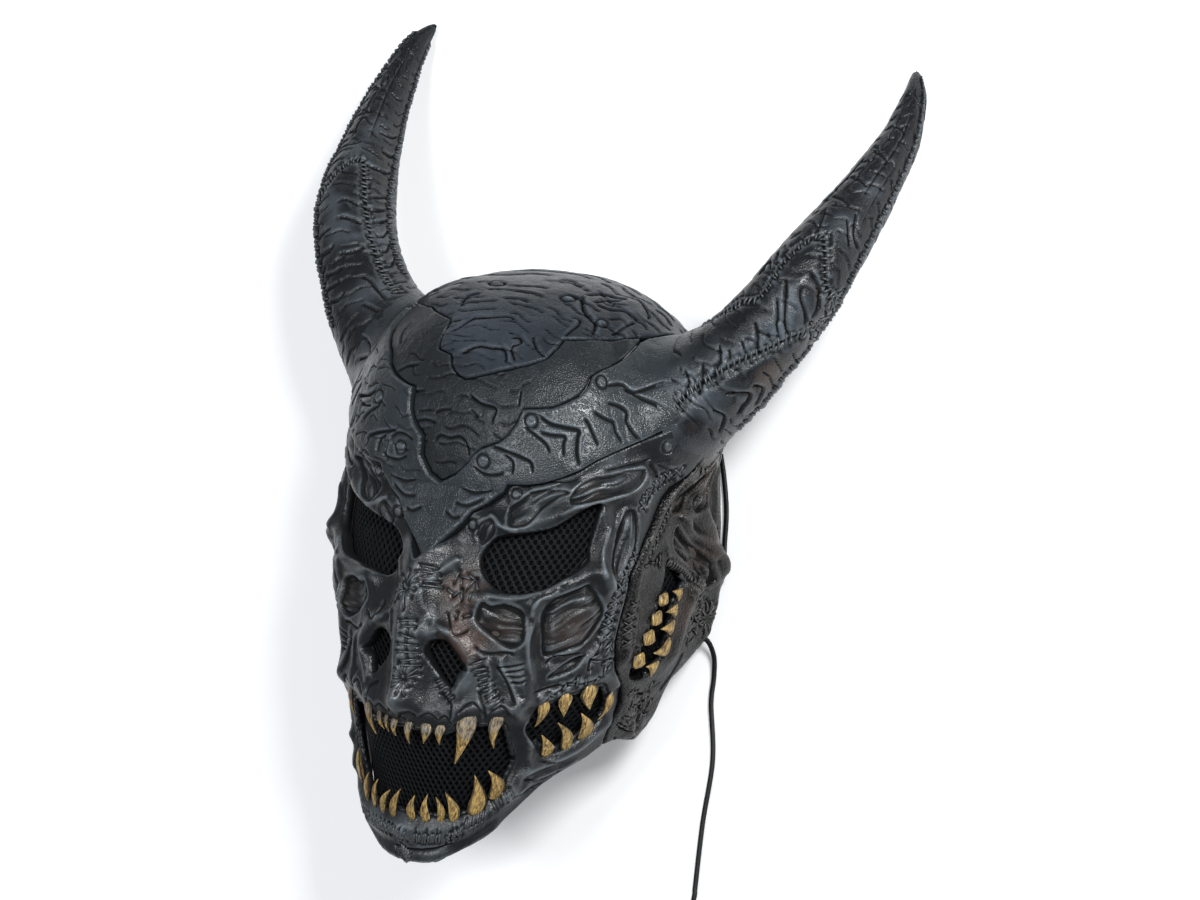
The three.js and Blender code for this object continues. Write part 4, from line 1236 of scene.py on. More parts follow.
# Warm stains, and with a strength below zero pale patches of painted sheen, those on the chin painted
# light.
FACE_STAINS_AND_SHEEN = [
    (0.8, 8, (11.5, 8)), (0.7, 9, (17, -22)), (0.5, 7, (13, -9)), (0.45, 6, (-9, 14)),
    (-0.7, 4, (6.3, 16)), (-0.6, 6, (6, -15.5)), (-0.7, 6, (20.2, -43)), (-0.7, 6, (32.5, -34.5)),
    (0.25, 8, (28, -14)), (0.25, 11, (49, -14)), (0.2, 7, (50, 58)), (0.2, 9, (-33, -12)),
    (-0.5, 9, (36, 63)), (-0.5, 10, (56, 71)), (-0.4, 8, (30, 44)),
    (-0.6, 12, (-16, -124)), (-0.5, 12, (0, -128)), (-0.4, 12, (14, -132)),
]
CHIN_CUTS = [
    (1.5, 0.7, (-8, -137.5), (0, -138.5), (8, -138), (17, -136), (26, -131)),
    (1.1, 0.4, (-4, -125), (-5, -130), (-3, -134)),
    (1.1, 0.4, (1, -124), (0, -129), (2, -134.5)),
    (1.1, 0.4, (6, -124), (6.5, -129), (5, -134)),
    (1.1, 0.4, (11, -124), (12, -129), (10.5, -133.5)),
    (1.1, 0.4, (16, -123.5), (16, -128), (18, -132)),
    (1.1, 0.4, (22, -122), (23, -126), (22, -130)),
    (1.2, 0.5, (-20, -144), (-8, -146.5), (5, -147), (18, -144), (28, -138)),
]
SIDE_CORDS = [
    (2.2, 3.2, (83.5, 38), (90.5, 23), (100.5, 11.5), (106.8, -0.5), (111, -11)),
    (1.6, 1.4, (79.5, 24), (80, 17), (85.5, 8), (92, -4)),
    (2.2, 2.6, (104.8, 56), (105, 37.5), (102.8, 20)),
    (1.6, 1.2, (88, -8), (91, -20), (90, -34), (87, -46)),
    (1.6, 1.2, (96, -10), (98, -22), (96, -36)),
    (1.8, 1.4, (88, 66), (83, 56), (77, 44), (72, 32), (69, 22)),
]
SIDE_MUSCLES = [
    (3.6, 0.4, 131, [(98, 60), (91, 48), (85, 37)],
     [(97, 59), (91.5, 51), (88, 42), (84.5, 38), (82, 39), (84, 47), (90, 55)]),
    (2.6, 2.2, 134, [(99.5, 60), (97, 46), (90, 33)],
     [(98.5, 58), (101.5, 48), (98.5, 38.5), (92.8, 34), (89.5, 37), (93, 46)]),
    (3.2, 2.4, 137, [(82, 30), (93, 12), (106, -12)],
     [(83.5, 30), (88, 20), (97, 9), (104, -4), (105, -10), (99, -11), (93, 1), (87, 10),
      (82.5, 20)]),
    (1.6, 1.2, 140, [(108, 30), (110, 10), (108, -12)],
     [(108, 28), (112, 14), (112, -2), (108.5, -4), (106, 6), (105.5, 18)]),
]
SIDE_CUTS = [
    (1.4, 0.9, (95, 66), (91, 58), (88, 49)),
    (1.2, 0.8, (98, 76), (104, 66), (106, 56)),
    (1.2, 0.7, (74, -84), (78, -88.5), (83, -88)),
    (1.2, 0.7, (74, -78), (79, -83), (84, -84)),
    (1.1, 0.6, (92, -44), (90, -54), (87, -66)),
    (1.1, 0.6, (74, -58), (80, -62), (86, -58)),
    (1, 0.5, (110, 66), (116, 52), (122, 40)),
    (1.2, 0.6, (96, 4), (100, -14), (98, -30)),
    (1.2, 0.6, (101, -16), (106, -28), (104, -40)),
    (1, 0.5, (70, -30), (73, -34), (75.5, -32)),
]
SIDE_STAINS = [(0.7, 12, (90, 76)), (0.55, 10, (100, 12)), (0.5, 10, (88, -20)), (0.6, 9, (96, 50))]

# The finer carving of each horn, in its own places: angle and share of its length. Each seam: the
# spacing and width of its stitches, then its places.
# Warm stains, and with a strength below zero pale patches of painted sheen.
NEAR_HORN_STAINS_AND_SHEEN = [
    (0.5, 10, (47, 0.26)), (0.5, 7, (27, 0.094)), (0.4, 7, (60, 0.38)), (0.3, 7, (20, 0.42)),
    (-0.5, 22, (-4, 0.08)), (-0.5, 10, (9, 0.148)), (-0.5, 8, (-4, 0.23)), (-0.5, 8, (15, 0.28)),
    (-0.7, 8, (18, 0.34)), (-0.7, 9, (16, 0.39)), (-0.5, 8, (0, 0.56)), (-0.5, 7, (10, 0.66)),
]
# Pale patches of painted sheen.
FAR_HORN_SHEEN_PATCHES = [
    (-0.6, 9, (-35, 0.38)), (-0.6, 8, (-22, 0.448)), (-0.6, 9, (-41, 0.582)),
    (-0.5, 8, (-60, 0.66)), (-0.5, 10, (-50, 0.2)), (-0.5, 9, (-90, 0.36)),
]
NEAR_HORN_CUTS = [
    (1.5, 0.42, (-26, 0.152), (-9, 0.142), (0, 0.108)),
    (1.7, 0.48, (-20, 0.19), (-1, 0.166), (8, 0.142)),
    (1.7, 0.48, (-28, 0.238), (-10, 0.22), (-2, 0.196), (13, 0.186)),
    (1.4, 0.36, (-13, 0.246), (2, 0.23)),
    (1.4, 0.36, (-9, 0.276), (1, 0.266), (11, 0.26)),
    (1.7, 0.48, (-14, 0.324), (4, 0.304), (12, 0.288), (23, 0.276)),
    (1.4, 0.36, (9, 0.324), (17, 0.316), (26, 0.312)),
    (1.7, 0.48, (-10, 0.376), (6, 0.356), (13, 0.342), (25, 0.33)),
    (1.7, 0.48, (-14, 0.412), (1, 0.384), (22, 0.35), (41, 0.338)),
    (1.5, 0.42, (7, 0.422), (15, 0.404), (37, 0.384), (46, 0.366)),
    (1.5, 0.42, (20, 0.438), (36, 0.428), (47, 0.404), (47, 0.384)),
    (1.5, 0.42, (21, 0.184), (46, 0.212), (58, 0.168)),
    (1.4, 0.36, (27, 0.144), (45, 0.154), (57, 0.104)),
    (1.4, 0.36, (40, 0.224), (56, 0.232), (69, 0.198)),
    (1.4, 0.36, (-18, 0.416), (3, 0.386)),
    (1.4, 0.36, (7, 0.446), (30, 0.438), (39, 0.424)),
    (1.4, 0.36, (-61, 0.388), (-67, 0.424), (-45, 0.41)),
    (1.4, 0.36, (-62, 0.452), (-49, 0.432)),
    (1.4, 0.36, (-59, 0.486), (-49, 0.506)),
    (1.4, 0.3, (-41, 0.576), (-29, 0.538), (-25, 0.506)),
    (1.4, 0.3, (-7, 0.534), (7, 0.51)),
    (1.5, 0.36, (7, 0.602), (26, 0.558), (49, 0.54)),
    (1.4, 0.3, (0, 0.578), (33, 0.528)),
    (1.3, 0.24, (-53, 0.61), (-26, 0.61), (-7, 0.604)),
    (1.3, 0.24, (-43, 0.668), (-19, 0.668), (2, 0.66)),
    (1.3, 0.24, (-41, 0.75), (-11, 0.744), (7, 0.736)),
    (1.1, 0.24, (-30, 0.826), (-6, 0.826), (16, 0.814)),
    (0.98, 0.24, (-34, 0.62), (-30, 0.7), (-24, 0.8), (-20, 0.9)),
    (0.98, 0.24, (4, 0.62), (2, 0.7), (8, 0.78), (12, 0.88)),
    (0.84, 0.18, (-60, 0.56), (-56, 0.66), (-50, 0.74)),
    (0.84, 0.18, (28, 0.58), (24, 0.66), (26, 0.74)),
]
FAR_HORN_CUTS = [
    (1.4, 0.36, (-78, 0.428), (-88, 0.424), (-110, 0.438)),
    (1.4, 0.36, (-76, 0.46), (-92, 0.462), (-114, 0.482)),
    (1.4, 0.36, (-60, 0.546), (-85, 0.542), (-105, 0.546), (-118, 0.562)),
    (1.4, 0.36, (-84, 0.398), (-92, 0.394), (-114, 0.412)),
    (1.4, 0.36, (-86, 0.36), (-98, 0.356), (-111, 0.382)),
    (1.4, 0.36, (-86, 0.316), (-96, 0.312), (-109, 0.34)),
    (1.4, 0.36, (-84, 0.27), (-95, 0.268), (-108, 0.296)),
    (1.5, 0.42, (6, 0.38), (-15, 0.388), (-24, 0.39)),
    (1.5, 0.42, (4, 0.346), (-17, 0.346), (-27, 0.354)),
    (1.5, 0.42, (3, 0.302), (-17, 0.292), (-30, 0.296)),
    (1.5, 0.42, (4, 0.238), (-13, 0.226), (-26, 0.236)),
    (1.5, 0.42, (4, 0.268), (-12, 0.262), (-22, 0.266)),
    (1.5, 0.42, (-36, 0.408), (-54, 0.402), (-70, 0.386)),
    (1.4, 0.36, (-34, 0.45), (-50, 0.446), (-66, 0.43)),
    (1.5, 0.42, (-30, 0.33), (-50, 0.322), (-72, 0.33)),
    (1.5, 0.42, (-48, 0.256), (-60, 0.23), (-64, 0.152)),
    (1.5, 0.42, (-38, 0.182), (-45, 0.156), (-51, 0.132)),
    (1.3, 0.24, (16, 0.594), (-28, 0.602), (-48, 0.61)),
    (1.3, 0.24, (-86, 0.6), (-110, 0.6), (-122, 0.622)),
    (1.3, 0.24, (-70, 0.65), (-96, 0.65), (-116, 0.666)),
    (1.3, 0.24, (16, 0.69), (-21, 0.698), (-41, 0.71)),
    (1.3, 0.24, (-13, 0.77), (-34, 0.788), (-48, 0.804)),
    (0.98, 0.18, (-60, 0.6), (-58, 0.7), (-54, 0.8), (-50, 0.9)),
    (0.98, 0.18, (-22, 0.62), (-26, 0.74), (-30, 0.86)),
]
NEAR_HORN_SEAMS = [
    (3.2, 5, (-85, 0.218), (-56, 0.324), (-34, 0.358), (-38, 0.436), (-33, 0.486), (-16, 0.516),
     (4, 0.494), (40, 0.446), (70, 0.45)),
    (3, 6, (3, 0.062), (-1, 0.12), (-1, 0.166), (1, 0.208), (8, 0.246), (38, 0.334), (84, 0.4)),
]
FAR_HORN_SEAMS = [
    (3.2, 4.5, (10, 0.466), (-13, 0.51), (-36, 0.545), (-59, 0.556), (-70, 0.5), (-76, 0.43),
     (-80, 0.366), (-81, 0.25), (-83, 0.166)),
]
NEAR_HORN_WELTS = [
    [(84, 0.14), (84, 0.2), (82, 0.28), (94, 0.34)],
    [(98, 0.36), (95, 0.42), (74, 0.474), (62, 0.6), (60, 0.706), (53, 0.89), (46, 0.97)],
]
FAR_HORN_WELTS = [
    [(16, 0.2), (14, 0.4), (16, 0.6), (16, 0.8), (14, 0.95)],
    [(-116, 0.24), (-120, 0.44), (-126, 0.62), (-130, 0.8), (-130, 0.95)],
]


def on_pad(sheet):
    """Brings the leather to one level under the horns, and from there up onto them."""
    for side in (-1, 1):
        middle = sheet.chart.flat([(side * HORN_TURN, HORN_RISE)])
        part = sheet.window(middle, HORN_PAD + HORN_PAD_EDGE + 2)
        turn, rise = sheet.chart.places(sheet.x[part], sheet.y[part])
        if not turn.size:
            continue
        flat = AroundHead.flat(np.stack([turn, rise], -1))
        gap = np.linalg.norm(flat - AroundHead.flat([(side * HORN_TURN, HORN_RISE)])[0], axis=-1)
        share = smooth_step(gap, HORN_PAD, HORN_PAD + HORN_PAD_EDGE)
        foot, way = bare(turn, rise), normals(turn, rise)

        def outside(reach):
            from_horn = outside_horn(foot + way * reach[..., None], side)
            return joined(reach - HORN_PAD_LIFT, from_horn, HORN_BLEND)

        climb = surface_of(outside, np.full(turn.shape, HORN_PAD_LIFT + HORN_CLIMB)) - HORN_PAD_LIFT
        sheet.lift[part] = HORN_PAD_LIFT + (sheet.lift[part] - HORN_PAD_LIFT) * share
        sheet.base[part] += climb


def worked(sheet, seed):
    """The small unevenness of leather shaped by hand."""
    sheet.lift += 0.35 * noise(sheet.x, sheet.y, 13, seed) + 0.1 * noise(sheet.x, sheet.y, 5, seed + 1)
    sheet.lift += 0.04 * noise(sheet.x, sheet.y, 2.4, seed + 2)
    for size, depth in ((9, 0.18), (5, 0.1)):
        crease = noise(sheet.x, sheet.y * 1.4, size, seed + size)
        broken = smooth_step(noise(sheet.x, sheet.y, 16, seed + 7), -0.1, 0.3)
        sheet.lift -= depth * broken * np.exp(-((crease * size) ** 2))


def face_sheet():
    eyes = [rounded(EYE), rounded(FAR_EYE)]
    nostrils = [rounded(NOSTRIL), rounded(mirrored(NOSTRIL))]
    cheeks = [rounded(CHEEK), rounded(mirrored(CHEEK))]
    sheet = cut_sheet(AroundHead, FACE, [*eyes, *nostrils, *cheeks, rounded(MOUTH)])
    on_both_sides(sheet, ridge, FACE_FORMS)
    on_pad(sheet)
    flesh_out(sheet, FACE_MUSCLES)
    on_both_sides(sheet, cord_line, FACE_CORDS)
    on_both_sides(sheet, cut, FACE_CUTS)
    on_both_sides(sheet, disc, FACE_DISCS)
    on_sheet(sheet, stain_and_sheen, FACE_STAINS_AND_SHEEN)
    on_sheet(sheet, cut, CHIN_CUTS)
    worked(sheet, 11)
    return sheet


def side_sheet(side):
    temple = rounded(on_side(TEMPLE, side))
    sheet = cut_sheet(AroundHead, on_side(SIDE_PANEL, side), [temple], on_rim=True)
    on_both_sides(sheet, ridge, SIDE_FORMS)
    on_pad(sheet)
    flesh_out(sheet, SIDE_MUSCLES)
    on_both_sides(sheet, cord_line, SIDE_CORDS)
    on_both_sides(sheet, cut, SIDE_CUTS)
    on_both_sides(sheet, stain_and_sheen, SIDE_STAINS)
    worked(sheet, 21)
    return sheet


def brow_sheet():
    sheet = cut_sheet(AroundHead, BROW_PLATE, step=PLATE_FINE)
    for line in (BROW_GROOVE, mirrored(BROW_GROOVE)):
        part, gap, _, _ = sheet.trace(line, 40)
        swell = BROW_SWELL * np.exp(-((gap / BROW_SWELL_WIDTH) ** 2))
        sheet.lift[part] = np.maximum(sheet.lift[part], swell)
    sheet.lift += BROW_LIFT
    on_pad(sheet)
    on_both_sides(sheet, cut, BROW_CUTS)
    on_both_sides(sheet, disc, BROW_DISCS)
    on_sheet(sheet, cut, FAR_BROW_CUTS)
    on_sheet(sheet, wavy_rows, BROW_ROWS)
    worked(sheet, 31)
    return sheet


def keystone_sheet():
    sheet = cut_sheet(AroundHead, KEYSTONE, step=PLATE_FINE)
    sheet.lift += KEYSTONE_LIFT
    on_pad(sheet)
    on_sheet(sheet, cut, KEYSTONE_CUTS)
    on_sheet(sheet, wavy_rows, KEYSTONE_ROWS)
    worked(sheet, 41)
    return sheet


def crown_sheet():
    sheet = cut_sheet(OverDome, DOME, step=DOME_FINE, on_rim=True)
    sheet.lift += CROWN_LIFT
    on_pad(sheet)
    on_sheet(sheet, cut, CROWN_CUTS)
    on_sheet(sheet, disc, CROWN_DISCS)
    on_sheet(sheet, stain_and_sheen, CROWN_SHEEN_PATCHES)
    on_sheet(sheet, wavy_rows, CROWN_ROWS)
    worked(sheet, 51)
    return sheet


# Stitches: shares of the way from hole to hole, the lift at each, the thread's thickness, and how
# far round it the leather that it lies on is levelled out
STITCH_SHARES = np.array([0, 0.1, 0.28, 0.5, 0.72, 0.9, 1])
STITCH_ARCH = np.array([-1, 0, 0.5, 0.6, 0.5, 0, -1])
STITCH_RADIUS = 0.66
STITCH_SIDES = 5
STITCH_GROUND = 1.8


class Thread:
    """The stitches on one sheet. Each leaves its two holes in the leather as it is sewn."""

    def __init__(self, sheet):
        self.sheet, self.ends = sheet, []

    def stitch(self, start, end):
        """A stitch pulled into the leather, deepest at its two holes."""
        self.ends.append((start, end))
        line = np.array([start, end])
        part = self.sheet.window(line, 3)
        gap, _, share = self.sheet.beside(line, self.sheet.x[part], self.sheet.y[part])
        at_end = np.abs(2 * share - 1) ** 4
        # The groove also lowers the relief, so the leather round each stitch is painted dark as shade.
        self.sheet.lift[part] -= (0.75 + 0.6 * at_end) * np.exp(-((gap / 1.1) ** 2))

    def steps(self, spacing, line):
        """Uneven steps along a line: each with its middle and its directions along and across."""
        path = curve_through(self.sheet.chart.flat(line), spacing=1)
        lengths = np.concatenate([[0], np.cumsum(np.linalg.norm(np.diff(path, axis=0), axis=1))])
        for reach in np.arange(spacing / 2, lengths[-1], spacing):
            reach += random.uniform(-0.2, 0.2) * spacing
            here, ahead, behind = (
                np.array([np.interp(reach + k, lengths, column) for column in path.T])
                for k in (0, 0.5, -0.5)
            )
            along = (ahead - behind) / max(np.linalg.norm(ahead - behind), 1e-6)
            yield here, along, np.array([-along[1], along[0]])

    def ladder(self, spacing, width, slant, *line):
        """Stitches across a line, each leaning along it by slant."""
        for here, along, across in self.steps(spacing, line):
            lean = slant * random.uniform(0.7, 1.3) + random.uniform(-0.15, 0.15) * width
            offset = across * width * random.uniform(0.38, 0.57) + along * lean / 2
            self.stitch(here - offset, here + offset)

    def crosses(self, spacing, width, *line):
        """A row of X stitches along a line."""
        for here, along, across in self.steps(spacing, line):
            for lean in (-0.35, 0.35):
                wide = width * random.uniform(0.42, 0.56)
                offset = across * wide + along * width * lean * random.uniform(0.8, 1.3)
                self.stitch(here - offset, here + offset)

    def star(self, radius, count, place):
        """Stitches in a ring, all pointing at one place."""
        middle = self.sheet.chart.flat([place])[0]
        first = random.uniform(0, 1)
        for k in range(count):
            angle = (k + first + random.uniform(-0.3, 0.3)) / count * 2 * math.pi
            way = np.array([math.cos(angle), math.sin(angle)])
            near, far = random.uniform(0.1, 0.35), random.uniform(0.6, 1.15)
            self.stitch(middle + way * radius * near, middle + way * radius * far)

    def scatter(self, spacing, length, *ring):
        """Short stitches in every direction, all over an outline."""
        flat = self.sheet.chart.flat(ring)
        low, high = flat.min(0), flat.max(0)
        for x in np.arange(low[0], high[0], spacing):
            for y in np.arange(low[1], high[1], spacing):
                here = np.array([x, y]) + [random.uniform(-0.4, 0.4) * spacing for _ in range(2)]
                angle = random.uniform(0, math.pi)
                half = length * random.uniform(0.35, 0.6) * np.array([math.cos(angle), math.sin(angle)])
                if signed_depth(here[0], here[1], flat) > 0:
                    self.stitch(here - half, here + half)

    def sew(self, sewing, side=1):
        """Sews each row of stitching, with its turns the other way for a side of -1."""
        for kind, *row in sewing:
            sizes, places = split(row)
            kind(self, *sizes, *((side * turn, rise) for turn, rise in places))

    def make(self, name, slot, material=thread_wax_and_sheen):
        """Every stitch as a short arched tube."""
        ends = np.array(self.ends)
        reach = round(STITCH_GROUND / self.sheet.step)
        ground = blurred(self.sheet.lift + self.sheet.base, reach)
        flat = ends[:, :1] + (ends[:, 1:] - ends[:, :1]) * STITCH_SHARES[None, :, None]
        lift = self.sheet.lift_at(flat, ground) + STITCH_ARCH
        chart = self.sheet.chart
        middle = chart.points(flat[..., 0], flat[..., 1], lift)
        up = chart.points(flat[..., 0], flat[..., 1], lift + 1) - middle
        up /= np.maximum(np.linalg.norm(up, axis=-1, keepdims=True), 1e-9)
        along = np.gradient(middle, axis=1)
        along /= np.maximum(np.linalg.norm(along, axis=-1, keepdims=True), 1e-9)
        aside = np.cross(along, up)
        corners = []
        for k in range(STITCH_SIDES):
            angle = 2 * math.pi * k / STITCH_SIDES
            way = aside * math.cos(angle) + up * math.sin(angle)
            corners.append(middle + way * STITCH_RADIUS * MM)
        corners = np.stack(corners, 2).reshape(-1, 3)
        rings = len(STITCH_SHARES)
        faces = []
        for n in range(len(ends)):
            faces += tube_faces(rings, STITCH_SIDES, n * rings * STITCH_SIDES)
        make_object(name, corners, faces, material)


# The sewing. Each row: the kind of stitching, its sizes, and its places.
NOSE_CUT = (1.2, 0.3)
NOSE_SEAM = [(1, -11), (1.8, -18), (1.8, -25), (2.8, -37)]
CHEEK_SEAM = [(65.8, 22), (63.2, 14), (61.3, 7), (60.3, -8.5), (60.3, -22)]
FACE_SEWING = [
    (Thread.ladder, 3.9, 9.5, 0.8, *NOSE_SEAM),
    (Thread.star, 9, 11, (-0.6, 1)),
    (Thread.star, 8.5, 12, (1.6, -43)),
    (Thread.ladder, 2.2, 8, 1.5, (4.5, 3), (2.5, 14)),
    (Thread.scatter, 4.2, 5.5, (11, 18), (15.5, 12.5), (16.5, 3), (13, -1), (8.5, 3), (8.5, 11)),
    (Thread.scatter, 4, 3.5, (11, -5), (16.5, -5), (15, -13), (13, -13)),
    (Thread.ladder, 3.3, 6.5, 0.8, (21.8, -30), (25.8, -44), (31, -56)),
    (Thread.ladder, 3.2, 3.6, 0.5, (10, -42), (12.5, -47), (16, -52)),
    (Thread.crosses, 5, 6, (80.5, 62), (75, 58.5), (69, 52.5), (67, 44.5)),
    (Thread.crosses, 5.4, 6.5, *[(-turn, rise) for turn, rise in CHEEK_SEAM]),
    (Thread.crosses, 5.4, 6.5, *CHEEK_SEAM),
    (Thread.scatter, 4.2, 5.5, (56, -27), (62.5, -26), (63.5, -44), (56, -38)),
    (Thread.scatter, 4.2, 5, (44, -50), (52, -44), (60, -44), (60, -47), (52, -48), (45, -54)),
    (Thread.crosses, 5, 6, (-34.2, -127), (-17, -127.5), (-6.5, -128.5), (1.2, -130)),
    (Thread.ladder, 2.5, 6.5, 0.6, (5, -130.5), (11.2, -131), (17.8, -129.5)),
    (Thread.crosses, 3.8, 5, (20.5, -129.5), (27, -123.5)),
    (Thread.ladder, 2.8, 6, 2, (26.5, -121), (33.5, -116)),
    (Thread.ladder, 3.2, 6, 0.5, (36, -112), (41.5, -103.5)),
    (Thread.crosses, 3.6, 6, (-2.5, -138.5), (3.5, -144)),
]
SIDE_SEWING = [
    (Thread.crosses, 5, 5, (83.5, 46), (78.5, 36), (75, 29), (72, 21)),
    (Thread.crosses, 5, 5.5, (67.5, -4), (66.6, -16), (67.3, -30)),
    (Thread.ladder, 2.6, 5, 0.6, (79.5, 13), (85.8, 5.5), (92.5, -5)),
    (Thread.ladder, 2.8, 5.5, 0.6, (89.5, -6), (91.5, -13), (95.5, -22)),
    (Thread.scatter, 3.8, 4.5, (70, 20), (79, 18), (79, 12), (69.5, 13)),
    (Thread.scatter, 4.2, 5, (81, 80), (90, 77), (100, 70), (100, 62), (89, 69), (83, 72)),
    (Thread.scatter, 4.6, 5, (88, 62), (86, 52), (80, 41), (84, 42), (88, 50), (92, 60)),
    (Thread.scatter, 4.8, 5, (73, -56), (84, -60), (86, -80), (74, -82)),
    (Thread.scatter, 4.8, 5, (94, 0), (101, -8), (100, -40), (92, -40), (89, -12)),
    (Thread.star, 10, 14, (103, -30)),
    (Thread.ladder, 3, 4, 0.5, (108.5, 44), (110.5, 30), (113, 10), (116, -12)),
]
NEAR_HORN_SEWING = [
    (Thread.scatter, 4.6, 6, (58, 0.46), (80, 0.45), (94, 0.4), (94, 0.34), (70, 0.35), (56, 0.352)),
]


def sewn(sheet, sewing, side=1):
    """A sheet's stitches."""
    thread = Thread(sheet)
    thread.sew(sewing, side)
    return thread


# The horns' skins
HORN_COLUMNS = 160


def horn_sheet(side):
    """A horn's skin, from where it leaves the head."""
    chart = AroundHorn(side)
    half_turn = math.pi * HORN_ROLL
    step = 2 * half_turn / HORN_COLUMNS
    sheet = Sheet(chart, (-half_turn, 0), (half_turn + step / 2, chart.reach[-1] + 0.5), step)

    def outside(reach):
        from_head = outside_head(chart.in_head_frame(sheet.x, sheet.y, reach)) - HORN_PAD_LIFT
        return joined(from_head, reach, HORN_BLEND)

    sheet.base += surface_of(outside, np.full(sheet.x.shape, HORN_CLIMB))
    skin = chart.in_head_frame(sheet.x, sheet.y, sheet.base)
    from_head = outside_head(skin) - HORN_PAD_LIFT
    # The skin starts under the leather that climbs onto the horn, and lies a little lower there.
    sheet.depth = from_head - 0.5 * HORN_CLIMB
    sheet.base -= 0.5 * (1 - smooth_step(from_head, 0.6 * HORN_CLIMB, HORN_CLIMB))
    on_sheet(sheet, cut, NEAR_HORN_CUTS if side > 0 else FAR_HORN_CUTS)
    on_sheet(sheet, stain_and_sheen, NEAR_HORN_STAINS_AND_SHEEN if side > 0 else FAR_HORN_SHEEN_PATCHES)
    wavy_rows(sheet, (-half_turn, 24), (half_turn, chart.reach[-1] - 20), 8, 13, 0.8)
    worked(sheet, 61)
    return sheet


# A horn's seams: the sizes of the groove cut under the stitches. Its welts: half their width, how
# far out they still swell, how closely they are beaded, and the sizes of their stitches.
SEAM_CUT = (1.8, 0.6)
WELT_HALF = 1.7
WELT_REACH = 5
WELT_BEADS = 340
WELT_STITCHES = (4, 5.5, 1)


def sewn_horn(sheet, seams, welts, sewing=()):
    """A horn's stitches: over a groove along its seams, and over its bumpy welts."""
    thread = Thread(sheet)
    for row in seams:
        (spacing, width), places = split(row)
        cut(sheet, *SEAM_CUT, *places)
        thread.ladder(spacing, width, width * 0.35, *places)
    for places in welts:
        part, gap, _, share = sheet.trace(places, WELT_REACH)
        beads = 1 + 0.3 * np.sin(share * WELT_BEADS)
        sheet.lift[part] += WELT_HALF * beads * np.exp(-((gap / WELT_HALF) ** 2))
        thread.ladder(*WELT_STITCHES, *places)
    thread.sew(sewing)
    return thread


def horn_skin(name, sheet, node):
    sheet.relief = np.clip(relief_of(sheet), 0, 1)
    corners, faces, _ = trimmed(sheet)
    make_object(
        name, sheet.chart.points(*corners[:, :3].T), faces, horn_leather, node,
        {"relief": corners[:, 4], "tint": corners[:, 3]},
    )


# Teeth, as in the part's source: root turn and rise, width, tip turn and rise
UPPER_TEETH = [
    (-32, -62, 8, -30, -76), (-17.3, -62, 9, -12.7, -78.7), (-10.5, -66, 6, -8, -74.3),
    (-7, -67, 5, -5.8, -75), (-3.5, -68, 7, -2.8, -76.5), (2, -68, 8, 2.5, -79),
    (8.5, -68, 9, 7.7, -77.8), (13.5, -68, 7, 13.8, -77.5), (22, -62, 13, 19.6, -87.5),
    (31.5, -62, 8, 32.3, -79),
]
LOWER_TEETH = [
    (-33, -110, 12, -29, -93), (-24, -117, 8, -20.5, -103), (-16.5, -118, 8, -13.6, -104),
    (-10.8, -119, 8, -6.5, -107.5), (-4.8, -119, 9, -1.3, -105.3), (3.3, -119, 10, 4.5, -107.3),
    (9.8, -119, 9, 10, -105.5), (16.5, -118, 7, 13.3, -106.8), (22, -117, 9, 16.7, -103.3),
    (30, -113, 13, 27, -93.5), (36, -105, 11, 31.5, -91),
]
CHEEK_UPPER_TEETH = [
    (45, -56, 7, 43.8, -68), (51, -53, 8, 52.3, -64), (58, -50.5, 10, 60.3, -62.5),
    (66, -58, 6, 64.5, -70),
]
CHEEK_LOWER_TEETH = [
    (50.5, -84, 8, 47, -73), (56.5, -81.5, 8, 51, -67), (62, -77, 10, 57.8, -63.5),
]
TEMPLE_FRONT_TEETH = [
    (77.7, -6, 9, 80, -10), (75.8, -16, 10, 78.4, -20), (73.8, -26, 10, 77, -30),
    (71.8, -38, 10, 75, -42),
]
TEMPLE_REAR_TEETH = [
    (84.6, -8, 8, 81.4, -4), (83.6, -16, 9, 79.6, -15), (83, -25, 10, 78.4, -24),
    (82.7, -35, 11, 77.2, -37), (79.5, -47, 10, 75.6, -44),
]
UPPER_HALF = both_sides([(0, -50), (60, -50), (60, -84), (0, -84)])
LOWER_HALF = both_sides([(0, -86), (60, -86), (60, -130), (0, -130)])
CHEEK_ABOVE = [(42, -40), (75, -40), (75, -72), (48, -66)]
CHEEK_BELOW = [(44.5, -76), (67, -73), (67, -95), (44.5, -95)]
TEMPLE_FORE = [(79, 6), (70, -10), (65, -44), (72, -44), (77, -12)]
TEMPLE_AFT = [(83, 6), (92, -2), (86, -60), (76, -52), (80, -20)]

# Along a tooth: share of its length, half width, thickness and lift of its middle
TOOTH_FORM = [
    (-0.3, 0.02, 0.3, 0.2), (-0.2, 0.17, 1, 0.6), (-0.07, 0.38, 1.9, 1.1), (0.07, 0.47, 2.5, 1.4),
    (0.24, 0.43, 2.8, 1.7), (0.44, 0.31, 2.4, 1.9), (0.64, 0.195, 1.8, 1.9), (0.82, 0.1, 1.1, 1.7),
    (0.95, 0.045, 0.6, 1.4), (1, 0.008, 0.15, 1.2),
]
TOOTH_SIDES = 18
BAND_SIDES = 8


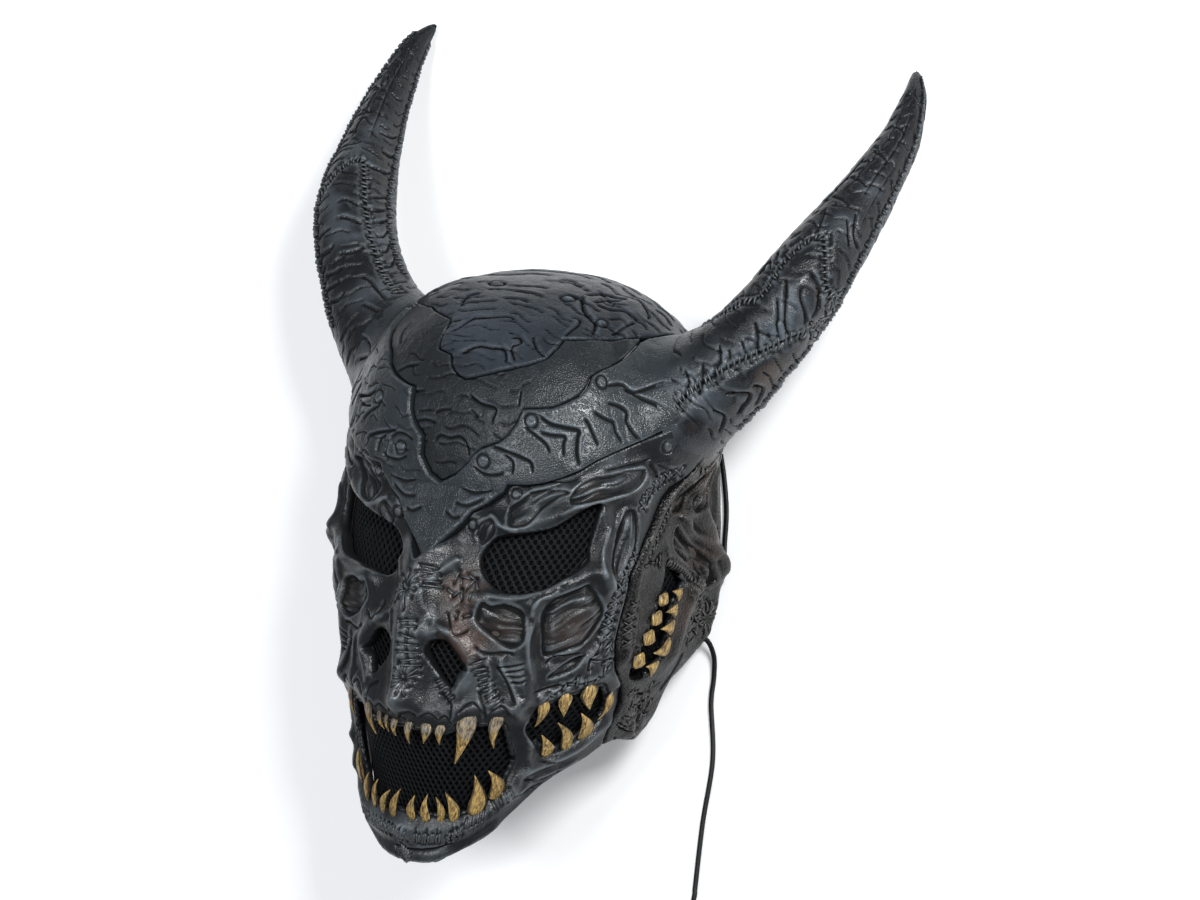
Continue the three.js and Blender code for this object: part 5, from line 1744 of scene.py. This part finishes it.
def tooth(gilt, root_turn, root_rise, width, tip_turn, tip_rise):
    """A tooth's corners, faces, and its share of gold and of painted shade at each corner: the
    shade is darkest at its sides and in its flutes. The gold starts at the share gilt of its length."""
    root = AroundHead.flat([(root_turn, root_rise)])[0]
    tip = AroundHead.flat([(tip_turn, tip_rise)])[0]
    length = np.linalg.norm(tip - root)
    along = (tip - root) / length
    across = np.array([-along[1], along[0]])
    form = curve_through(np.array(TOOTH_FORM, float), spacing=0.45)
    share, half, thick, middle = form.T
    angle = np.linspace(0, 2 * math.pi, TOOTH_SIDES, endpoint=False)
    hook = -random.uniform(0.05, 0.13) * np.sign((tip - root)[0] * across[0])
    bend = hook * length * np.sin(np.pi * np.clip(share, 0, 1))
    flutes = 0.12 * np.sin(angle * 6 + random.uniform(0, 6))
    aside = half[:, None] * width * np.cos(angle) * (1 + 0.3 * flutes) + bend[:, None]
    scale = 0.55 + 0.05 * width
    lift = middle[:, None] + 0.5 * thick[:, None] * scale * np.sin(angle) * (1 + flutes)
    flat = root + along * (share * length)[:, None, None] + across * aside[..., None]
    points = AroundHead.points(flat[..., 0], flat[..., 1], lift).reshape(-1, 3)
    rings = len(share)
    faces = tube_faces(rings, TOOTH_SIDES) + end_faces(rings, TOOTH_SIDES)
    gold = np.repeat(0.12 + 0.88 * smooth_step(share, gilt, gilt + 0.35), TOOTH_SIDES)
    # Painted shade: the value is low at the tooth's sides, where it turns away, and in its flutes, and
    # the material paints it dark.
    groove = np.tile(0.62 + 2 * flutes - 0.5 * np.cos(angle) ** 6, rings)
    return points, faces, gold, groove


def tooth_row(name, opening, half, teeth, side=1, gilt=-0.3):
    """A row of teeth, moved to the mask's right for a side of -1, with the band of leather along
    the half of the opening's edge that they stand in."""
    edge = AroundHead.flat(rounded(opening))
    inside_half = signed_depth(edge[:, 0], edge[:, 1], AroundHead.flat(half)) > 0
    points, faces, gold, groove = [], [], [], []
    count = 0
    for turn, rise, width, tip_turn, tip_rise in teeth:
        corners, ring_faces, tip_share, tooth_shading = tooth(
            gilt, side * turn, rise, width, side * tip_turn, tip_rise,
        )
        faces += [[corner + count for corner in face] for face in ring_faces]
        points.append(corners)
        gold.append(tip_share)
        groove.append(tooth_shading)
        count += len(corners)
    tooth_faces = len(faces)
    start = int(np.argmax(inside_half & ~np.roll(inside_half, 1)))
    order = np.roll(np.arange(len(edge)), -start)
    band = edge[[k for k in order if inside_half[k]]]
    way = np.gradient(band, axis=0)
    way /= np.linalg.norm(way, axis=1, keepdims=True)
    inward = np.stack([-way[:, 1], way[:, 0]], -1)
    inward *= np.sign(((edge.mean(0) - band) * inward).sum(1).mean())
    angle = np.linspace(0, 2 * math.pi, BAND_SIDES, endpoint=False)
    swell = 1 + 0.25 * np.sin(np.arange(len(band)) * 1.9)[:, None]
    aside = 0.6 + 1.7 * np.cos(angle)[None] * swell
    flat = band[:, None] + inward[:, None] * aside[..., None]
    lift = -2.2 + 1.8 * np.sin(angle)[None] * swell
    ring = AroundHead.points(flat[..., 0], flat[..., 1], lift).reshape(-1, 3)
    faces += tube_faces(len(band), BAND_SIDES, count)
    points.append(ring)
    gold.append(np.zeros(len(ring)))
    groove.append(np.full(len(ring), 0.5))
    made = make_object(
        f"{name}_carved", np.concatenate(points), faces, [tooth_gold, face_leather],
        name, {"tint": np.concatenate(gold), "relief": np.concatenate(groove)},
    )
    give_second_material(made, tooth_faces)


# The spacer fabric: a close backing with a net of round holes in front of it
FABRIC_GAP = 0.9
FABRIC_MARGIN = 4
FABRIC_STEP = 2.5
BACKING_DROP = 1.4
NET_WIDE = 4.8
NET_TALL = 5.2
NET_HOLE = 1.15
NET_INSET = 1.5
NET_SIDES = 8
# A hole's rounded rim: the shares of its radius at the front and the back, and the lifts of the
# cell's edge and of those two
NET_RIMS = (1.15, 0.95)
NET_LIFTS = np.array([0.25, 0, -0.9])
# A hole's cell in the net, in shares of its width and height
NET_CELL = np.array([
    (0.5, 0), (0.25, 0.25), (0, 0.5), (-0.25, 0.25), (-0.5, 0), (-0.25, -0.25), (0, -0.5),
    (0.25, -0.25),
])
NOSE_WINDOW = both_sides([(0, -15), (11, -15), (24, -33), (17, -53)])
MOUTH_WINDOW = both_sides([
    (0, -60), (15, -60), (30, -57), (40, -48), (62, -43), (69, -54), (70.5, -72), (62, -86),
    (52, -90), (44, -96), (39, -110), (29, -121), (14, -124),
])


def spacer_fabric(node, window, margin):
    """Two layers of fabric behind a window, which reach past its edge by a margin."""
    sheet = cut_sheet(AroundHead, window, step=FABRIC_STEP, gap=-margin)
    sheet.lift -= WALL + FABRIC_GAP + BACKING_DROP
    corners, faces, _ = trimmed(sheet)
    points = AroundHead.points(*corners[:, :3].T)
    backing = make_object(f"{node}_backing", points, faces, mesh_cloth, node)
    ring = AroundHead.flat(window)
    low, high = ring.min(0) - margin, ring.max(0) + margin
    angles = np.arange(NET_SIDES) * 2 * math.pi / NET_SIDES
    way = np.stack([np.cos(angles), np.sin(angles)], -1)
    holes = [way * NET_HOLE * share for share in NET_RIMS]
    rings = np.stack([NET_CELL * (NET_WIDE, NET_TALL), *holes])
    rows = np.arange(math.floor(low[1] / NET_TALL * 2), math.ceil(high[1] / NET_TALL * 2) + 1)
    columns = np.arange(math.floor(low[0] / NET_WIDE), math.ceil(high[0] / NET_WIDE) + 1)
    row, column = (values.ravel() for values in np.meshgrid(rows, columns, indexing="ij"))
    centres = np.stack([(column + 0.5 * (row % 2)) * NET_WIDE, row * NET_TALL / 2], -1)
    inside = signed_depth(centres[:, 0], centres[:, 1], ring) > NET_INSET - margin
    flat = centres[inside][:, None, None] + rings[None]
    lift = np.broadcast_to(NET_LIFTS[None, :, None], flat.shape[:3]) - (WALL + FABRIC_GAP)
    points = AroundHead.points(flat[..., 0], flat[..., 1], lift).reshape(-1, 3)
    faces = []
    for first in range(0, len(points), len(rings) * NET_SIDES):
        faces += tube_faces(len(rings), NET_SIDES, first)
    net = make_object(f"{node}_net", points, faces, mesh_strand, smooth=False)


# The laces
LACE_WIDTH = 3
LACE_THICK = 1.8
STRAP_SIDES = 8
TIE_WIDTH = 2.2
TIE_THICK = 0.8
TIE_REACH = 4.7
TIE_RISE = 2.6
TIE_HEIGHT = 2.2
LACE_PATH = [
    (89.5, -88.5, 13), (94.5, -90, 9), (97.5, -98, 4), (98.5, -110, 1.8), (99.5, -124, 1.8),
    (106.5, -154, 1.8), (107, -190, 1.8), (109.5, -230, 1.8),
]
LOOP_PATH = [
    (79, 12, 2.2), (83.4, 0, 2), (87.6, -14, 2), (89.6, -24, 2), (91, -36, 2), (92.6, -46, 2),
    (93.8, -54, 2.2),
]
# The coil: its turns, the radius of the first, second and third, and how they lie
COIL_MIDDLE = np.array((90, -262))
COIL_TURNS = 2.7
COIL_OUTER, COIL_INNER, COIL_UPPER = 18, 15, 16.6
COIL_START = math.radians(20)
COIL_STEPS = 16


def coil_path():
    """The lace's spare length, wound in a flat coil beside and on itself."""
    path = []
    radii = np.repeat((COIL_OUTER, COIL_INNER, COIL_UPPER), 2)
    for k in range(int(COIL_TURNS * COIL_STEPS) + 1):
        turn = k / COIL_STEPS
        angle = COIL_START - turn * 2 * math.pi
        radius = np.interp(turn, (0, 0.9, 1.1, 1.9, 2.1, 3), radii)
        rise = np.interp(turn, (0, 1.9, 2.1, 3), (1, 1, 3, 3))
        path.append((*(COIL_MIDDLE + radius * np.array([math.cos(angle), math.sin(angle)])), rise))
    return path


def strap(name, path, width, thick, node=None, aside=None):
    """A flat lace along a path, with rounded edges, closed at both ends. It lies flat on the
    ground unless its width is to lie along aside."""
    path = np.array(path, float)
    along = np.gradient(path, axis=0)
    along /= np.linalg.norm(along, axis=1, keepdims=True)
    aside = np.cross(along, (0, 0, 1)) if aside is None else np.tile(aside, (len(path), 1))
    aside /= np.linalg.norm(aside, axis=1, keepdims=True)
    up = np.cross(aside, along)
    angle = (np.arange(STRAP_SIDES) + 0.5) / STRAP_SIDES * 2 * math.pi
    cos = np.sign(np.cos(angle)) * np.abs(np.cos(angle)) ** 0.7
    corners = (
        path[:, None] + aside[:, None] * (cos * width / 2)[:, None]
        + up[:, None] * (np.sin(angle) * thick / 2)[:, None]
    ).reshape(-1, 3)
    faces = tube_faces(len(path), STRAP_SIDES) + end_faces(len(path), STRAP_SIDES)
    return make_object(name, corners * MM, faces, lace_leather, node)


def add_laces():
    route = [tuple(p) for p in curve_through(np.array(LACE_PATH, float), spacing=6)]
    path = [*route, *coil_path()]
    path = [tuple(p) for p in curve_through(np.array(path, float), spacing=3)]
    lace = strap("lace_strip", path, LACE_WIDTH, LACE_THICK, ["lace", "lace_coil"])
    tie_path = [
        (COIL_MIDDLE[0] - COIL_UPPER + TIE_REACH * math.cos(a), COIL_MIDDLE[1],
         TIE_RISE + TIE_HEIGHT * math.sin(a))
        for a in np.linspace(0, 2 * math.pi, 17)
    ]
    tie = strap("lace_tie", tie_path, TIE_WIDTH, TIE_THICK, aside=np.array((0.0, 1, 0)))
    tuple(c * MM for c in path[0])
    [tuple(c * MM for c in p) for p in path]
    loop_path = [tuple(p) for p in curve_through(np.array(LOOP_PATH, float), spacing=3)]
    loop = strap("lace_loop_strip", loop_path, LACE_WIDTH, LACE_THICK, "lace_loop")
    tuple(c * MM for c in loop_path[0])
    [tuple(c * MM for c in p) for p in loop_path]


# The camera, at the place and angle of the photograph
CAMERA_TURN = math.radians(34)
CAMERA_RISE = math.radians(14)
CAMERA_DISTANCE = 2200
CAMERA_LENS = 120.8
CAMERA_ASIDE = 51.9
CAMERA_ABOVE = 60.1

# The studio, in metres: where the lights are aimed, and the floor
LIGHTS_AIM = Vector((0, -0.05, 0.08))
FLOOR_HALF = 6
FLOOR_DROP = 0.0005


def camera_axes():
    """The camera's right, up and backward directions in the head's frame."""
    ahead, aside = math.cos(CAMERA_TURN), math.sin(CAMERA_TURN)
    level, above = math.cos(CAMERA_RISE), math.sin(CAMERA_RISE)
    right = np.array([ahead, 0, -aside])
    up = np.array([-above * aside, level, -above * ahead])
    return right, up, np.array([level * aside, above, level * ahead])


def turned(direction):
    """A direction of the head's frame in the frame of the lying mask."""
    return Vector(laid(direction) - laid(np.zeros(3))).normalized()


def add_camera():
    right, up, back = camera_axes()
    place = right * CAMERA_ASIDE + up * CAMERA_ABOVE + back * CAMERA_DISTANCE
    data = bpy.data.cameras.new("camera")
    data.lens = CAMERA_LENS
    data.clip_end = 20
    camera = bpy.data.objects.new("camera", data)
    columns = [turned(axis) for axis in (right, up, back)]
    camera.matrix_world = Matrix.Translation(laid(place)) @ Matrix(columns).transposed().to_4x4()
    bpy.context.scene.collection.objects.link(camera)
    bpy.context.scene.camera = camera


def add_light(name, aside, above, toward, size, power, colour):
    """A soft light placed from the camera's point of view, aimed at the mask."""
    right, up, back = (turned(axis) for axis in camera_axes())
    place = right * aside + up * above + back * toward
    data = bpy.data.lights.new(name, "AREA")
    data.size, data.energy, data.color = size, power, colour
    light = bpy.data.objects.new(name, data)
    light.location = place
    light.rotation_mode = "QUATERNION"
    light.rotation_quaternion = (LIGHTS_AIM - place).to_track_quat("-Z", "Y")
    bpy.context.scene.collection.objects.link(light)


def add_studio():
    bpy.context.scene.view_settings.view_transform = "Standard"
    world = bpy.data.worlds.new("studio")
    world.use_nodes = True
    world.node_tree.nodes["Background"].inputs["Color"].default_value = (0.9, 0.93, 1, 1)
    world.node_tree.nodes["Background"].inputs["Strength"].default_value = 0.3
    bpy.context.scene.world = world
    mesh = bpy.data.meshes.new("floor")
    corners = [(FLOOR_HALF * x, FLOOR_HALF * y, 0) for x, y in ((-1, -1), (1, -1), (1, 1), (-1, 1))]
    mesh.from_pydata(corners, [], [(0, 1, 2, 3)])
    floor = bpy.data.objects.new("floor", mesh)
    floor.location.z = -FLOOR_DROP
    nodes = Nodes("floor_paper")
    nodes.set(
        Base_Color=(0.9, 0.9, 0.9, 1), Roughness=0.9, Emission_Color=(1, 1, 1, 1),
        Emission_Strength=0.2,
    )
    mesh.materials.append(nodes.material)
    bpy.context.scene.collection.objects.link(floor)


SIDES = {"left": 1, "right": -1}

add_camera()
add_studio()
add_laces()

# The leather is carved first, because a stitch presses its holes into it.
face = face_sheet()
sides = {name: side_sheet(side) for name, side in SIDES.items()}
brow = brow_sheet()
keystone = keystone_sheet()
crown = crown_sheet()
horns = {name: horn_sheet(side) for name, side in SIDES.items()}
cut(face, *NOSE_CUT, *NOSE_SEAM)
face_thread = sewn(face, FACE_SEWING)
side_threads = {name: sewn(sides[name], SIDE_SEWING, side) for name, side in SIDES.items()}
horn_threads = {
    "left": sewn_horn(horns["left"], NEAR_HORN_SEAMS, NEAR_HORN_WELTS, NEAR_HORN_SEWING),
    "right": sewn_horn(horns["right"], FAR_HORN_SEAMS, FAR_HORN_WELTS),
}

shell("face_carved", face, face_leather, "face")
for name, side in SIDES.items():
    shell(f"side_carved_{name}", sides[name], side_leather, f"side_panel_{name}")
    horn_skin(f"horn_carved_{name}", horns[name], f"horn_{name}")
    seam_lining(f"seam_lining_{name}", on_side(TEMPLE_SEAM[1:], side))
shell("brow_carved", brow, brow_leather, "brow_plate")
shell("keystone_carved", keystone, keystone_leather, "keystone_plate")
shell("crown_carved", crown, crown_leather, "crown_plate")
face_thread.make("face_stitches", "face_leather")
for name in SIDES:
    side_threads[name].make(f"side_stitches_{name}", "side_leather", side_thread)
    horn_threads[name].make(f"horn_stitches_{name}", "horn_leather")

tooth_row("teeth_upper", MOUTH, UPPER_HALF, UPPER_TEETH, gilt=0.3)
tooth_row("teeth_lower", MOUTH, LOWER_HALF, LOWER_TEETH)
for name, side in SIDES.items():
    for row, opening, half, teeth in (
        ("teeth_cheek_upper", CHEEK, CHEEK_ABOVE, CHEEK_UPPER_TEETH),
        ("teeth_cheek_lower", CHEEK, CHEEK_BELOW, CHEEK_LOWER_TEETH),
        ("teeth_temple_front", TEMPLE, TEMPLE_FORE, TEMPLE_FRONT_TEETH),
        ("teeth_temple_rear", TEMPLE, TEMPLE_AFT, TEMPLE_REAR_TEETH),
    ):
        tooth_row(f"{row}_{name}", on_side(opening, side), on_side(half, side), teeth, side)
    spacer_fabric(f"temple_mesh_{name}", rounded(on_side(TEMPLE, side)), FABRIC_MARGIN)
spacer_fabric("eye_mesh_left", rounded(EYE), FABRIC_MARGIN)
spacer_fabric("eye_mesh_right", rounded(FAR_EYE), FABRIC_MARGIN)
spacer_fabric("nose_mesh", NOSE_WINDOW, 0)
spacer_fabric("mouth_mesh", MOUTH_WINDOW, 0)

add_light(
    "key_light", aside=0.4, above=0.5, toward=1.6, size=0.4, power=31, colour=(0.97, 0.99, 1),
)
add_light(
    "fill_light", aside=-0.9, above=0.15, toward=1.3, size=0.6, power=13, colour=(0.96, 0.98, 1),
)
